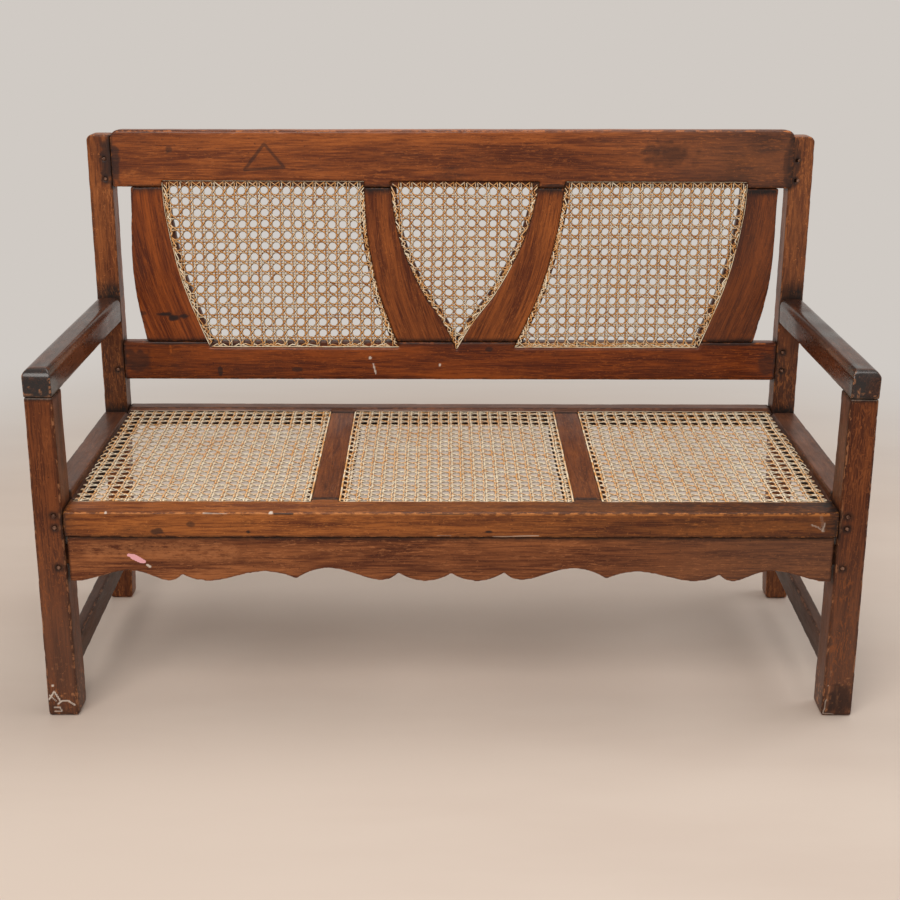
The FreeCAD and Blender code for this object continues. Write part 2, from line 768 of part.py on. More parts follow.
def panel_wire(name, gap):
    """Outline of a caned opening of the back, drawn in by a gap."""
    high = OPENING_HIGH - gap
    if name == "centre":
        west = inset(vee_side(-1), gap)
        east = inset(vee_side(1), -gap)
        slope = (east[1].x - east[0].x) / (east[1].z - east[0].z)
        tip = flat(vee_middle(VEE_LOW), east[0].z + (vee_middle(VEE_LOW) - east[0].x) / slope)
        west[0] = tip
        east[0] = tip
        west = level_ends(west, tip.z, high)
        east = level_ends(east, tip.z, high)
        return Part.Wire([curve(west), straight(west[-1], east[-1]), curve(east)])
    side = 1 if name == "left" else -1
    out = level_ends(inset(outer_side(side), -side * gap), OPENING_LOW + gap, high)
    near = level_ends(inset(inner_side(side), side * gap), OPENING_LOW + gap, high)
    return Part.Wire([
        curve(out), straight(out[-1], near[-1]), curve(near), straight(near[0], out[0])])


def face(wires):
    return Part.makeFace(wires, "Part::FaceMakerCheese")


def slab(outline, front, thickness):
    """A plate in the back's plane, from a face or wire, behind a given depth."""
    plate = outline if outline.ShapeType == "Face" else face([outline])
    plate = plate.copy()
    plate.translate(FreeCAD.Vector(0, front, 0))
    return plate.extrude(FreeCAD.Vector(0, thickness, 0))


PANELS = ("right", "centre", "left")
SPLAT_LOW = at.lower_rail_bottom + at.lower_rail_height + at.joint_gap
SPLAT_HIGH = at.crest_bottom - at.joint_gap
SPLATS = ("splat_outer_right", "splat_inner_right", "splat_inner_left", "splat_outer_left")


def extended(points):
    """The line run on past both ends, for cutting to length."""
    low = SPLAT_LOW - at.cut_overrun
    high = SPLAT_HIGH + at.cut_overrun
    return level_ends(points, low, high)


def splat_edges(name):
    """The two long edges of a splat, each as a list of edges from the bottom up."""
    side = 1 if name.endswith("left") else -1
    if "outer" in name:
        shift = lambda height: at.back_shift * (height - OPENING_LOW) / OPENING_HEIGHT
        outside = side_line(SPLAT_EDGE_SHARES, side, OPENING_LOW, shift)
        inside = extended(inset(outer_side(side), -side * at.back_ledge))
        return [curve(outside)], [curve(inside)]
    outside = extended(inset(inner_side(side), side * at.back_ledge))
    vee = inset(vee_side(side), -side * at.back_ledge)
    above = [point for point in vee if side * (point.x - vee_middle(point.z)) > at.joint_gap]
    foot = flat(vee_middle(SPLAT_LOW - at.cut_overrun) + side * at.joint_gap / 2,
                SPLAT_LOW - at.cut_overrun)
    run = above[1] - above[0]
    drop = (side * (above[0].x - vee_middle(above[0].z)) - at.joint_gap / 2) / (side * run.x) * run.z
    meet = flat(vee_middle(above[0].z - drop) + side * at.joint_gap / 2, above[0].z - drop)
    rise = [meet] + above
    rise = level_ends(rise, meet.z, SPLAT_HIGH + at.cut_overrun)
    return [curve(outside)], [straight(foot, meet), curve(rise)]


def ends_of(edges):
    heights = sorted((vertex.Point for edge in edges for vertex in edge.Vertexes), key=lambda p: p.z)
    return heights[0], heights[-1]


def splat_blank(name):
    first, second = splat_edges(name)
    low_a, high_a = ends_of(first)
    low_b, high_b = ends_of(second)
    edges = first + second + [straight(low_a, low_b), straight(high_a, high_b)]
    outline = Part.Wire(Part.__sortEdges__(edges))
    plate = slab(outline, at.splat_recess, at.splat_thickness)
    band = Part.makeBox(
        2 * at.half_width, 4 * at.splat_thickness, SPLAT_HIGH - SPLAT_LOW,
        FreeCAD.Vector(-at.half_width, -at.splat_thickness, SPLAT_LOW))
    return plate.common(band)


def splat_tenon_boxes(blank, gap):
    """Stub tenons at the top and bottom of a splat, or their mortises."""
    boxes = []
    depth = at.splat_recess + (at.splat_thickness - at.splat_tenon_thickness) / 2 + at.back_rebate / 2
    for height, toward in ((SPLAT_HIGH, 1), (SPLAT_LOW, -1)):
        ends = [v.Point.x for v in blank.Vertexes if abs(v.Point.z - height) < at.joint_gap]
        middle = (min(ends) + max(ends)) / 2
        half = (max(ends) - min(ends)) / 4
        foot = height if toward > 0 else height - at.splat_tenon_length
        boxes.append(Part.makeBox(
            2 * (half + gap), at.splat_tenon_thickness + 2 * gap, at.splat_tenon_length + 2 * gap,
            FreeCAD.Vector(middle - half - gap, depth - gap, foot - gap)))
    return boxes


def rebate_tools():
    """Cutters for the three caned openings' rebates in rails and splats."""
    front = -at.crest_proud - at.cut_overrun
    return [slab(panel_wire(name, 0), front, at.back_rebate - front) for name in PANELS]


def corner_tools():
    """Cutters that round the crest rail's two upper corners."""
    top = at.crest_bottom + at.crest_height
    radius = at.crest_rounding
    front = -at.crest_proud - at.cut_overrun
    thickness = at.crest_thickness + 2 * at.cut_overrun
    tools = []
    for side in (1, -1):
        centre = FreeCAD.Vector(side * (INNER_HALF - at.joint_gap - radius), front, top - radius)
        size = radius + at.cut_overrun
        block = Part.makeBox(size, thickness, size, centre - FreeCAD.Vector(0 if side > 0 else size, 0, 0))
        tools.append(block.cut(Part.makeCylinder(radius, thickness, centre, FreeCAD.Vector(0, 1, 0))))
    return tools


def make_feature(name, shape, placement):
    feature = doc.addObject("Part::Feature", name)
    feature.Shape = shape
    feature.Label = name
    feature.Placement = placement
    return feature


def splat(name, blank, rebates):
    """Curved upright of the back, rebated for the cane on its panel sides."""
    solid = blank.cut(rebates)
    for box in splat_tenon_boxes(blank, 0):
        solid = solid.fuse(box)
    return make_feature(name, solid.removeSplitter().Solids[0], LEANING)


def apron():
    """Scalloped board under the front rail, tongued into it."""
    top = at.seat_height - at.seat_drop - at.front_rail_height - at.joint_gap
    foot = top - at.apron_height
    flare = at.leg_splay - at.leg_foot_width + at.leg_top_width

    def reach(height):
        inner = at.half_width - at.leg_top_width
        return inner + flare * (at.arm_underside - height) / at.arm_underside - at.apron_end_gap

    half = reach(foot)
    edges = []
    for side in (1, -1):
        last = None
        for run in APRON_RUNS_SHARES:
            points = [flat(side * x * half, foot + z * at.apron_height) for x, z in run]
            edges.append(curve(points))
            last = points[-1]
        corner = flat(side * half, foot)
        edges.append(straight(last, corner))
        edges.append(straight(corner, flat(side * reach(top), top)))
    edges.append(straight(flat(-reach(top), top), flat(reach(top), top)))
    outline = Part.Wire(Part.__sortEdges__(edges))
    board = slab(outline, at.apron_recess, at.apron_thickness)
    tongue_front = at.apron_recess + (at.apron_thickness - at.tongue_thickness) / 2
    tongue_half = reach(top)
    board = board.fuse(Part.makeBox(
        2 * tongue_half, at.tongue_thickness, at.tongue_height + at.joint_gap,
        FreeCAD.Vector(-tongue_half, tongue_front, top)))
    low = top + at.joint_gap - at.apron_height / 2 - 2 * at.tenon_shoulder
    high = top + at.joint_gap - 3 * at.tenon_shoulder
    tenon_half = at.half_width - at.tenon_shoulder - at.joint_gap
    board = board.fuse(Part.makeBox(
        2 * tenon_half, at.apron_thickness - 2 * at.tenon_shoulder, high - low,
        FreeCAD.Vector(-tenon_half, at.apron_recess + at.tenon_shoulder, low)))
    return make_feature("apron_blank", board.removeSplitter(), STANDING)


def octagon(centre_x, centre_z, across):
    radius = across / 2 / math.cos(math.pi / 8)
    corners = []
    for number in range(8):
        angle = math.pi / 8 + number * math.pi / 4
        corners.append(flat(centre_x + radius * math.cos(angle), centre_z + radius * math.sin(angle)))
    return Part.makePolygon(corners + corners[:1])


def net(outline, margin_face, pitch, gap):
    """A flat net: the outline's face with an octagonal gap at each grid place inside."""
    box = margin_face.BoundBox
    columns = int((box.XLength - gap) / pitch) + 1
    rows = int((box.ZLength - gap) / pitch) + 1
    first_x = box.Center.x - pitch * (columns - 1) / 2
    first_z = box.Center.z - pitch * (rows - 1) / 2
    holes = []
    for row in range(rows):
        for column in range(columns):
            centre_x = first_x + pitch * column
            centre_z = first_z + pitch * row
            hole = octagon(centre_x, centre_z, gap)
            if all(margin_face.isInside(v.Point, at.joint_gap, True) for v in hole.Vertexes):
                hole.reverse()
                holes.append(hole)
    holed = Part.Face([outline] + holes)
    if holed.Area > margin_face.Area:
        for hole in holes:
            hole.reverse()
        holed = Part.Face([outline] + holes)
    return holed, len(holes)


def back_cane(name):
    """Woven panel lying in its rebate, and the binder round its edge."""
    outline = panel_wire(name, at.cane_gap)
    margin = face([panel_wire(name, at.cane_gap + at.binder_width)])
    sheet_face, count = net(outline, margin, at.back_net_pitch, at.back_net_gap)
    depth = at.back_rebate - at.cane_gap - at.cane_thickness
    woven = slab(sheet_face, depth, at.cane_thickness)
    ring = face([outline, panel_wire(name, at.cane_gap + at.binder_width)])
    binder = slab(ring, depth - at.binder_thickness, at.binder_thickness)
    pieces["back_cane_" + name] = make_feature("back_cane_" + name, woven, LEANING)
    pieces["back_binder_" + name] = make_feature("back_binder_" + name, binder, LEANING)
    return count


def rectangle_wire(low_x, high_x, low_z, high_z):
    corners = [flat(low_x, low_z), flat(high_x, low_z), flat(high_x, high_z), flat(low_x, high_z)]
    return Part.makePolygon(corners + corners[:1])


def seat_cane(name, low_x, high_x):
    """Woven seat panel. It is drawn upright, then laid on the seat's plane."""
    slope = at.post_lean / at.post_height
    rail_back = at.post_setback + slope * at.seat_height + at.post_depth
    seat_front = at.front_rail_thickness - at.seat_ledge
    seat_back = rail_back - at.back_rail_thickness + at.seat_ledge
    run = seat_back - seat_front
    length = math.hypot(run, at.seat_drop)
    tilt = math.degrees(math.atan2(at.seat_drop, run))
    gap = at.cane_gap
    border = gap + at.binder_width
    outline = rectangle_wire(low_x + gap, high_x - gap, gap, length - gap)
    inner = rectangle_wire(low_x + border, high_x - border, border, length - border)
    sheet_face, count = net(outline, face([inner]), at.seat_net_pitch, at.seat_net_gap)
    depth = at.seat_rebate - at.cane_gap - at.cane_thickness
    woven = slab(sheet_face, depth, at.cane_thickness)
    binder = slab(face([outline, inner]), depth - at.binder_thickness, at.binder_thickness)
    place = FreeCAD.Placement(
        FreeCAD.Vector(0, seat_front - MIDDLE_BACK, at.seat_height - at.seat_drop),
        FreeCAD.Rotation(FreeCAD.Vector(1, 0, 0), tilt - 90))
    pieces["seat_cane_" + name] = make_feature("seat_cane_" + name, woven, place)
    pieces["seat_binder_" + name] = make_feature("seat_binder_" + name, binder, place)
    return count


# Pegs: a point on the face that each is driven into, and the way it is driven.
INTO_FRONT = FreeCAD.Vector(0, 1, 0)
INTO_BACK = LEANING.Rotation.multVec(FreeCAD.Vector(0, 1, 0))


def standing_point(x, back, z):
    return FreeCAD.Vector(x, back - MIDDLE_BACK, z)


def peg_places():
    """Every visible peg: its name, the point and the way it is driven."""
    front_top = at.seat_height - at.seat_drop
    front_rise = front_top - at.front_peg_drop
    apron_rise = front_top - at.front_rail_height - at.apron_peg_drop
    leg_out = at.half_width - at.leg_top_width + at.peg_inset + at.leg_splay / 4
    post_out = INNER_HALF + at.peg_inset
    crest_rise = at.crest_bottom + at.crest_peg_rise
    lower_rise = at.lower_rail_bottom + at.lower_rail_height / 2
    pegs = {}
    for word, side in SIDES:
        for level, step in (("lower", -0.5), ("upper", 0.5)):
            name = "_peg_%s_%s" % (word, level)
            spread = step * at.back_peg_pitch
            point = flat(side * post_out, crest_rise + spread)
            pegs["crest" + name] = (LEANING.multVec(point), INTO_BACK)
            point = flat(side * post_out, lower_rise + spread)
            pegs["lower_rail" + name] = (LEANING.multVec(point), INTO_BACK)
            spread = step * at.front_peg_pitch
            point = standing_point(side * leg_out, 0, front_rise + spread)
            pegs["front_rail" + name] = (point, INTO_FRONT)
        point = standing_point(side * leg_out, 0, apron_rise)
        pegs["apron_peg_" + word] = (point, INTO_FRONT)
    # The lower rail's upper peg shows on one side only.
    del pegs["lower_rail_peg_right_upper"]
    return pegs


def cylinder(name, point, way, radius_rule, length_rule, start):
    item = doc.addObject("Part::Cylinder", name)
    item.setExpression("Radius", bound(radius_rule))
    item.setExpression("Height", bound(length_rule))
    item.Placement = FreeCAD.Placement(
        point - way * start, FreeCAD.Rotation(FreeCAD.Vector(0, 0, 1), way))
    return item


def peg_bores(places):
    bores = doc.addObject("Part::Compound", "peg_bores")
    bores.Links = [
        cylinder(name + "_bore", point, way, "peg_diameter / 2 + joint_gap / 2",
                 "peg_length + cut_overrun + joint_gap", at.cut_overrun)
        for name, (point, way) in places.items()
    ]
    return bores


def cut(name, base, tool):
    result = doc.addObject("Part::Cut", name)
    result.Base = base
    result.Tool = tool
    result.Label = name
    pieces[name] = result
    return result


# The frame below and at the sides.
places = peg_places()
bores = peg_bores(places)
doc.recompute()
for word, side in SIDES:
    leg = front_leg("front_leg_" + word, side)
    stand(leg)
    cut("front_leg_" + word, leg, bores)
    post = back_post("back_post_" + word, side)
    stand(post)
    cut("back_post_" + word, post, bores)
    pieces["arm_" + word] = arm("arm_" + word, side)
    pieces["side_seat_rail_" + word] = side_seat_rail("side_seat_rail_" + word, side)
    pieces["side_stretcher_" + word] = side_stretcher("side_stretcher_" + word, side)
    pieces["seat_cross_rail_" + word] = seat_cross_rail("seat_cross_rail_" + word, side)
cut("front_seat_rail", front_seat_rail(), bores)
cut("apron", apron(), bores)
pieces["back_seat_rail"] = back_seat_rail()

# The leaning back: splats first, because the rails are mortised for them.
rebates = rebate_tools()
blanks = {name: splat_blank(name) for name in SPLATS}
mortises = [box for blank in blanks.values() for box in splat_tenon_boxes(blank, at.joint_gap)]
back_tools = make_feature("back_tools", Part.Compound(rebates + mortises + corner_tools()), LEANING)
for name, blank in blanks.items():
    pieces[name] = splat(name, blank, rebates)
for name, make in (("crest_rail", crest_rail), ("lower_back_rail", lower_back_rail)):
    shaped = doc.addObject("Part::Cut", name + "_shaped")
    shaped.Base = make()
    shaped.Tool = back_tools
    cut(name, shaped, bores)

# Cane, binders and pegs.
for name in PANELS:
    print("gaps in back_cane_%s: %d" % (name, back_cane(name)))
cross = at.cross_rail_offset
shift = at.cross_rail_shift
half_cross = at.cross_rail_width / 2
seat_edge = INNER_HALF - at.side_gutter
SEAT_PLACES = {
    "right": (-seat_edge, shift - cross - half_cross),
    "centre": (shift - cross + half_cross, shift + cross - half_cross),
    "left": (shift + cross + half_cross, seat_edge),
}
for name, (low_x, high_x) in SEAT_PLACES.items():
    print("gaps in seat_cane_%s: %d" % (name, seat_cane(name, low_x, high_x)))
for name, (point, way) in places.items():
    pieces[name] = cylinder(
        name, point, way, "peg_diameter / 2", "peg_length + peg_proud", at.peg_proud)

doc.recompute()
for item in doc.Objects:
    if "Invalid" in item.State or "Error" in item.State:
        raise RuntimeError("%s did not compute: %s" % (item.Label, item.State))
for name, piece in pieces.items():
    shape = piece.Shape
    if shape.isNull() or not shape.isValid() or not shape.Solids:
        raise RuntimeError(name + " has no valid solid")

os.makedirs("parts", exist_ok=True)
for name, piece in pieces.items():
    piece.Shape.exportStep("parts/" + name + ".step")
    print(name, len(piece.Shape.Solids), round(piece.Shape.Volume))
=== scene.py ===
import math
import bmesh
import bpy
import numpy as np
from mathutils import Matrix, Vector
from mathutils.bvhtree import BVHTree


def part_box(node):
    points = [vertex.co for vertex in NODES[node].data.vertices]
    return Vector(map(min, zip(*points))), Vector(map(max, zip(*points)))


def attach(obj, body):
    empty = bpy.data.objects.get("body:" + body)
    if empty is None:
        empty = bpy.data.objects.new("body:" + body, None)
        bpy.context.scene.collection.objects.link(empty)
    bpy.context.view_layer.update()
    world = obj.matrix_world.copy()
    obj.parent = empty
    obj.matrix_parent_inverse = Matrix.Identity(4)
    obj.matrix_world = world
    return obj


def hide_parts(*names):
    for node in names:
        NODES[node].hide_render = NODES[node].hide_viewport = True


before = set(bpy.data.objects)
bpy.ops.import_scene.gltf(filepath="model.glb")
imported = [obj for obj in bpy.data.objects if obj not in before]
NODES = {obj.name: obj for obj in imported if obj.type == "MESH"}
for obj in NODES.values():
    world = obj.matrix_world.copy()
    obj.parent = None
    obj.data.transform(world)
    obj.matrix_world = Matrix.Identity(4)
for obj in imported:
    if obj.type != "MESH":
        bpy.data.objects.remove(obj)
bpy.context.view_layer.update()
MM = 0.001
SEED = 31

# View, light and floor.
CAMERA_PLACE = (-0.0157, -2.4131, 1.2613)
CAMERA_PITCH = 19.59
CAMERA_YAW = 0.34
CAMERA_ROLL = 0.21
CAMERA_LENS = 54.4
SENSOR = 36.0


def linear(red, green, blue):
    """Linear colour of a written colour whose numbers run from 0 to 255."""
    out = []
    for value in (red, green, blue):
        share = value / 255
        out.append(share / 12.92 if share <= 0.04045 else ((share + 0.055) / 1.055) ** 2.4)
    return (*out, 1.0)


def add_object(name, data):
    thing = bpy.data.objects.new(name, data)
    bpy.context.scene.collection.objects.link(thing)
    return thing


def place_camera():
    pitch, yaw, roll = (math.radians(v) for v in (CAMERA_PITCH, CAMERA_YAW, CAMERA_ROLL))
    forward = Vector((math.sin(yaw) * math.cos(pitch), math.cos(yaw) * math.cos(pitch), -math.sin(pitch)))
    right = Vector((math.cos(yaw), -math.sin(yaw), 0))
    up = right.cross(forward)
    turned = right * math.cos(roll) + up * math.sin(roll)
    upright = up * math.cos(roll) - right * math.sin(roll)
    data = bpy.data.cameras.new("camera")
    data.lens = CAMERA_LENS
    data.sensor_width = SENSOR
    camera = add_object("camera", data)
    turn = Matrix((turned, upright, -forward)).transposed().to_4x4()
    camera.matrix_world = Matrix.Translation(CAMERA_PLACE) @ turn
    bpy.context.scene.camera = camera


def lamp(name, place, target, width, height, power, colour):
    data = bpy.data.lights.new(name, "AREA")
    data.shape = "RECTANGLE"
    data.size = width
    data.size_y = height
    data.energy = power
    data.color = colour
    light = add_object(name, data)
    aim = Vector(target) - Vector(place)
    light.matrix_world = Matrix.Translation(place) @ aim.to_track_quat("-Z", "Y").to_matrix().to_4x4()


class Value:
    """A node's output that can be added, subtracted and multiplied."""

    def __init__(self, graph, socket):
        self.graph = graph
        self.socket = socket

    def __add__(self, other):
        return self.graph.math("ADD", self, other)

    def __sub__(self, other):
        return self.graph.math("SUBTRACT", self, other)

    def __rsub__(self, other):
        return self.graph.math("SUBTRACT", other, self)

    def __mul__(self, other):
        return self.graph.math("MULTIPLY", self, other)


class Graph:
    """A material or world node tree, with short words for its parts."""

    def __init__(self, owner):
        owner.use_nodes = True
        self.tree = owner.node_tree
        self.tree.nodes.clear()

    def feed(self, socket, value):
        if isinstance(value, Value):
            self.tree.links.new(value.socket, socket)
        else:
            socket.default_value = value

    def add(self, kind, *entries, sockets=range(9), output=0, **named):
        """A node, fed by number and by name. Names of inputs start with a capital letter."""
        node = self.tree.nodes.new(kind)
        for key, value in named.items():
            if key[0].isupper():
                self.feed(node.inputs[key.replace("_", " ")], value)
            else:
                setattr(node, key, value)
        for number, value in zip(sockets, entries):
            self.feed(node.inputs[number], value)
        return Value(self, node.outputs[output] if node.outputs else None)

    def math(self, operation, first, second=0.0):
        return self.add("ShaderNodeMath", first, second, operation=operation)

    def largest(self, first, *others):
        for other in others:
            first = self.math("MAXIMUM", first, other)
        return first

    def mix(self, factor, first, second, mode="MIX"):
        return self.add("ShaderNodeMix", factor, first, second, sockets=(0, 6, 7), output=2,
                        data_type="RGBA", blend_type=mode, clamp_factor=True)

    def span(self, value, low, high, start=0.0, end=1.0):
        return self.add("ShaderNodeMapRange", value, low, high, start, end, interpolation_type="SMOOTHSTEP")

    def noise(self, vector, factors, detail=3.0, rough=0.55, warp=0.0):
        """Noise at a place whose three numbers are first multiplied by the factors."""
        place = self.add("ShaderNodeVectorMath", vector, factors, operation="MULTIPLY")
        return self.add("ShaderNodeTexNoise", Vector=place, Scale=1.0, Detail=detail, Roughness=rough,
                        Distortion=warp)

    def attribute(self, name, output="Fac"):
        return self.add("ShaderNodeAttribute", output=output, attribute_name=name)

    def place(self):
        return self.add("ShaderNodeTexCoord", output="Object")

    def shades(self, first, second, factor):
        """A blend of two shaders."""
        return self.add("ShaderNodeMixShader", factor, first, second)

    def seen_directly(self):
        """1 for camera, glossy and transmission rays."""
        kinds = ("Camera", "Glossy", "Transmission")
        return self.largest(*(self.add("ShaderNodeLightPath", output=f"Is {kind} Ray") for kind in kinds))

    def finish(self, shader, kind="ShaderNodeOutputMaterial"):
        self.add(kind, shader)


FLOOR_LIGHT = linear(219, 202, 188)
FLOOR_DULL = linear(213, 195, 181)
WALL = linear(208, 202, 196)
FLOOR_RADIUS = 40.0
FADE_START = 1.15
FADE_END = 2.5


def make_floor():
    """A pale floor that passes into the colour of the backdrop away from the bench."""
    mesh = bpy.data.meshes.new("floor")
    shape = bmesh.new()
    bmesh.ops.create_circle(shape, cap_ends=True, segments=96, radius=FLOOR_RADIUS)
    shape.to_mesh(mesh)
    shape.free()
    floor = add_object("floor", mesh)
    material = bpy.data.materials.new("pale_floor")
    graph = Graph(material)
    place = graph.place()
    away = graph.add("ShaderNodeVectorMath", place, operation="LENGTH", output="Value")
    mottle = graph.noise(place, (0.8, 3.0, 1.0), 4.0)
    tone = graph.mix(graph.span(mottle, 0.35, 0.7), FLOOR_LIGHT, FLOOR_DULL)
    surface = graph.add("ShaderNodeBsdfPrincipled", Base_Color=tone,
                        Roughness=graph.span(mottle, 0.3, 0.7, 0.55, 0.7))
    glow = graph.add("ShaderNodeEmission", Color=WALL, Strength=1.0)
    far = graph.span(away, FADE_START, FADE_END) * graph.seen_directly()
    graph.finish(graph.shades(surface, glow, far))
    mesh.materials.append(material)


AMBIENT = 0.31
WARM = (1.0, 0.965, 0.92)
NEUTRAL = (1.0, 0.98, 0.95)
COOL = (0.93, 0.965, 1.0)
LAMPS = (
    ("key", (-0.9, -2.6, 3.0), (0, 0, 0.45), 2.6, 1.8, 78, WARM),
    ("top", (0.3, 0.3, 3.1), (0, 0, 0.4), 2.6, 1.6, 36, NEUTRAL),
    ("side", (3.0, 0.6, 1.9), (0.2, 0, 0.5), 1.6, 1.8, 22, COOL),
)


def light_scene():
    world = bpy.data.worlds.new("studio")
    bpy.context.scene.world = world
    graph = Graph(world)
    lighting = graph.add("ShaderNodeBackground", Color=(1.0, 0.985, 0.965, 1.0), Strength=AMBIENT)
    backdrop = graph.add("ShaderNodeBackground", Color=WALL, Strength=1.0)
    graph.finish(graph.shades(lighting, backdrop, graph.seen_directly()), "ShaderNodeOutputWorld")
    for entry in LAMPS:
        lamp(*entry)
    bpy.context.scene.view_settings.view_transform = "Standard"


# Helpers for numbers and meshes.
LATTICE = 32


def field(points, size, seed):
    """Smooth noise from -1 to 1 at points, whose lumps are about that size."""
    lattice = np.random.default_rng(seed).uniform(-1, 1, (LATTICE, LATTICE, LATTICE))
    place = points / size
    base = np.floor(place).astype(int)
    part = place - base
    part = part * part * (3 - 2 * part)
    total = np.zeros(len(points))
    for corner in np.ndindex(2, 2, 2):
        index = (base + corner) % LATTICE
        weight = np.prod(np.where(np.array(corner), part, 1 - part), axis=1)
        total += weight * lattice[index[:, 0], index[:, 1], index[:, 2]]
    return total


def flat_field(spots, size, seed):
    return field(np.column_stack([spots, np.zeros(len(spots))]), size, seed)


def smoothstep(value, start, end):
    """Rises smoothly from 0 at the start to 1 at the end, which may be the smaller one."""
    share = np.clip((value - start) / (end - start), 0, 1)
    return share * share * (3 - 2 * share)


def band(value, start, full, fade, end):
    return smoothstep(value, start, full) * smoothstep(value, end, fade)


def unit(rows):
    return rows / np.maximum(np.linalg.norm(rows, axis=1), 1e-9)[:, None]


def run_lengths(line):
    return np.concatenate([[0], np.cumsum(np.linalg.norm(np.diff(line, axis=0), axis=1))])


def points_at(line, places):
    """The points of a line at these distances along it."""
    length = run_lengths(line)
    return np.column_stack([np.interp(places, length, line[:, 0]), np.interp(places, length, line[:, 1])])


def store(mesh, name, values):
    """Keeps a number or a vector for every point of a mesh."""
    kind, key = ("FLOAT", "value") if values.ndim == 1 else ("FLOAT_VECTOR", "vector")
    mesh.attributes.new(name, kind, "POINT").data.foreach_set(key, values.astype(np.float32).ravel())


def coordinates(mesh, key="co"):
    values = np.empty(len(mesh.vertices) * 3)
    mesh.vertices.foreach_get(key, values)
    return values.reshape(-1, 3)


def move_points(mesh, points):
    mesh.vertices.foreach_set("co", points.ravel())
    mesh.update()


def tube_faces(rings, corners, start=0):
    """The faces of a closed tube whose points follow each other ring by ring."""
    here = np.arange(corners)
    base = start + corners * np.arange(rings - 1)[:, None]
    near, after = base + here, base + (here + 1) % corners
    quads = np.stack([near, near + corners, after + corners, after], axis=-1).reshape(-1, 4)
    first = list(range(start, start + corners))
    last = [corner + (rings - 1) * corners for corner in first]
    return quads.tolist() + [first, last[::-1]]


def smooth_mesh(name, points, faces):
    mesh = bpy.data.meshes.new(name)
    mesh.from_pydata(points.tolist(), [], faces)
    mesh.update()
    shape = bmesh.new()
    shape.from_mesh(mesh)
    bmesh.ops.recalc_face_normals(shape, faces=shape.faces)
    shape.to_mesh(mesh)
    shape.free()
    mesh.shade_smooth()
    return mesh


# The leaning back and its openings, in mm: across, and up along the lean.
HALF_INNER = 655.0
POST_SETBACK = 480.0
FRONT_FACE = 285.5
OPEN_LOW = 539.5
OPEN_HIGH = 870.5
VEE_LOW = 533.5
LEAN = math.atan2(51, 955)
SEAT_RUN = 469.0
SEAT_FRONT = -0.2435
SEAT_LOW = 0.395
SEAT_TILT = math.atan2(13, 468.8)
OUTER_SHARES = [(0.748, 0), (0.781, 0.165), (0.809, 0.315), (0.830, 0.45), (0.8455, 0.59),
                (0.858, 0.735), (0.866, 0.87), (0.868, 1)]
INNER_SHARES = [(0.172, 0), (0.200, 0.13), (0.226, 0.257), (0.247, 0.38), (0.263, 0.508),
                (0.276, 0.63), (0.288, 0.80), (0.296, 1)]
VEE_SHARES = [(0, 0), (0.036, 0.132), (0.066, 0.222), (0.1015, 0.315), (0.133, 0.42), (0.158, 0.52),
              (0.180, 0.613), (0.197, 0.715), (0.212, 0.84), (0.223, 1)]
BACK_SHIFT = 8.0
VEE_MIDDLE = 12.0
VEE_DRIFT = 15.0


def vee_middle(height):
    """How far off centre the vee stands at a height, in mm."""
    return VEE_MIDDLE + (height - VEE_LOW) / (OPEN_HIGH - VEE_LOW) * VEE_DRIFT


def side_points(shares, side, low, shift):
    """A smooth line through the points of one side of an opening, from the bottom up."""
    rows = []
    for out, part in shares:
        height = low + part * (OPEN_HIGH - low)
        rows.append((side * out * HALF_INNER + shift(height), height))
    rows = np.array(rows)
    rows = np.vstack([2 * rows[0] - rows[1], rows, 2 * rows[-1] - rows[-2]])
    line = []
    for before, start, end, after in zip(rows, rows[1:], rows[2:], rows[3:]):
        for part in np.arange(0, 1, 0.125):
            line.append(0.5 * (2 * start + (end - before) * part
                               + (2 * before - 5 * start + 4 * end - after) * part ** 2
                               + (3 * start - before - 3 * end + after) * part ** 3))
    return np.array([*line, rows[-2]])


EDGES = {}
for side, word in ((-1, "right"), (1, "left")):
    EDGES["outer", word] = side_points(OUTER_SHARES, side, OPEN_LOW, lambda height: BACK_SHIFT)
    EDGES["inner", word] = side_points(INNER_SHARES, side, OPEN_LOW, vee_middle)
    EDGES["vee", word] = side_points(VEE_SHARES, side, VEE_LOW, vee_middle)


def depth_inside(outline, points):
    """Distance inside a closed outline, negative outside."""
    end = np.roll(outline, -1, axis=0)
    run = end - outline
    gap = points[:, None, :] - outline[None]
    share = np.clip(np.einsum("ijk,jk->ij", gap, run) / np.einsum("jk,jk->j", run, run), 0, 1)
    away = np.linalg.norm(gap - share[..., None] * run, axis=2).min(axis=1)
    above = (outline[:, 1] > points[:, None, 1]) != (end[:, 1] > points[:, None, 1])
    rise = np.where(run[:, 1] == 0, 1e-9, run[:, 1])
    cross = outline[:, 0] + (points[:, None, 1] - outline[:, 1]) / rise * run[:, 0]
    inside = (np.sum(above & (points[:, None, 0] < cross), axis=1) % 2) == 1
    return np.where(inside, away, -away)


SEAT_OPENINGS = {"right": (-653.0, -240.0), "centre": (-195.0, 213.0), "left": (258.0, 653.0)}
OUTLINES = {"seat_cane_" + word: np.array([(low, 0), (high, 0), (high, SEAT_RUN), (low, SEAT_RUN)])
            for word, (low, high) in SEAT_OPENINGS.items()}
for word in ("right", "left"):
    OUTLINES["back_cane_" + word] = np.vstack([EDGES["outer", word], EDGES["inner", word][::-1]])
OUTLINES["back_cane_centre"] = np.vstack([EDGES["vee", "left"], EDGES["vee", "right"][::-1][:-1]])


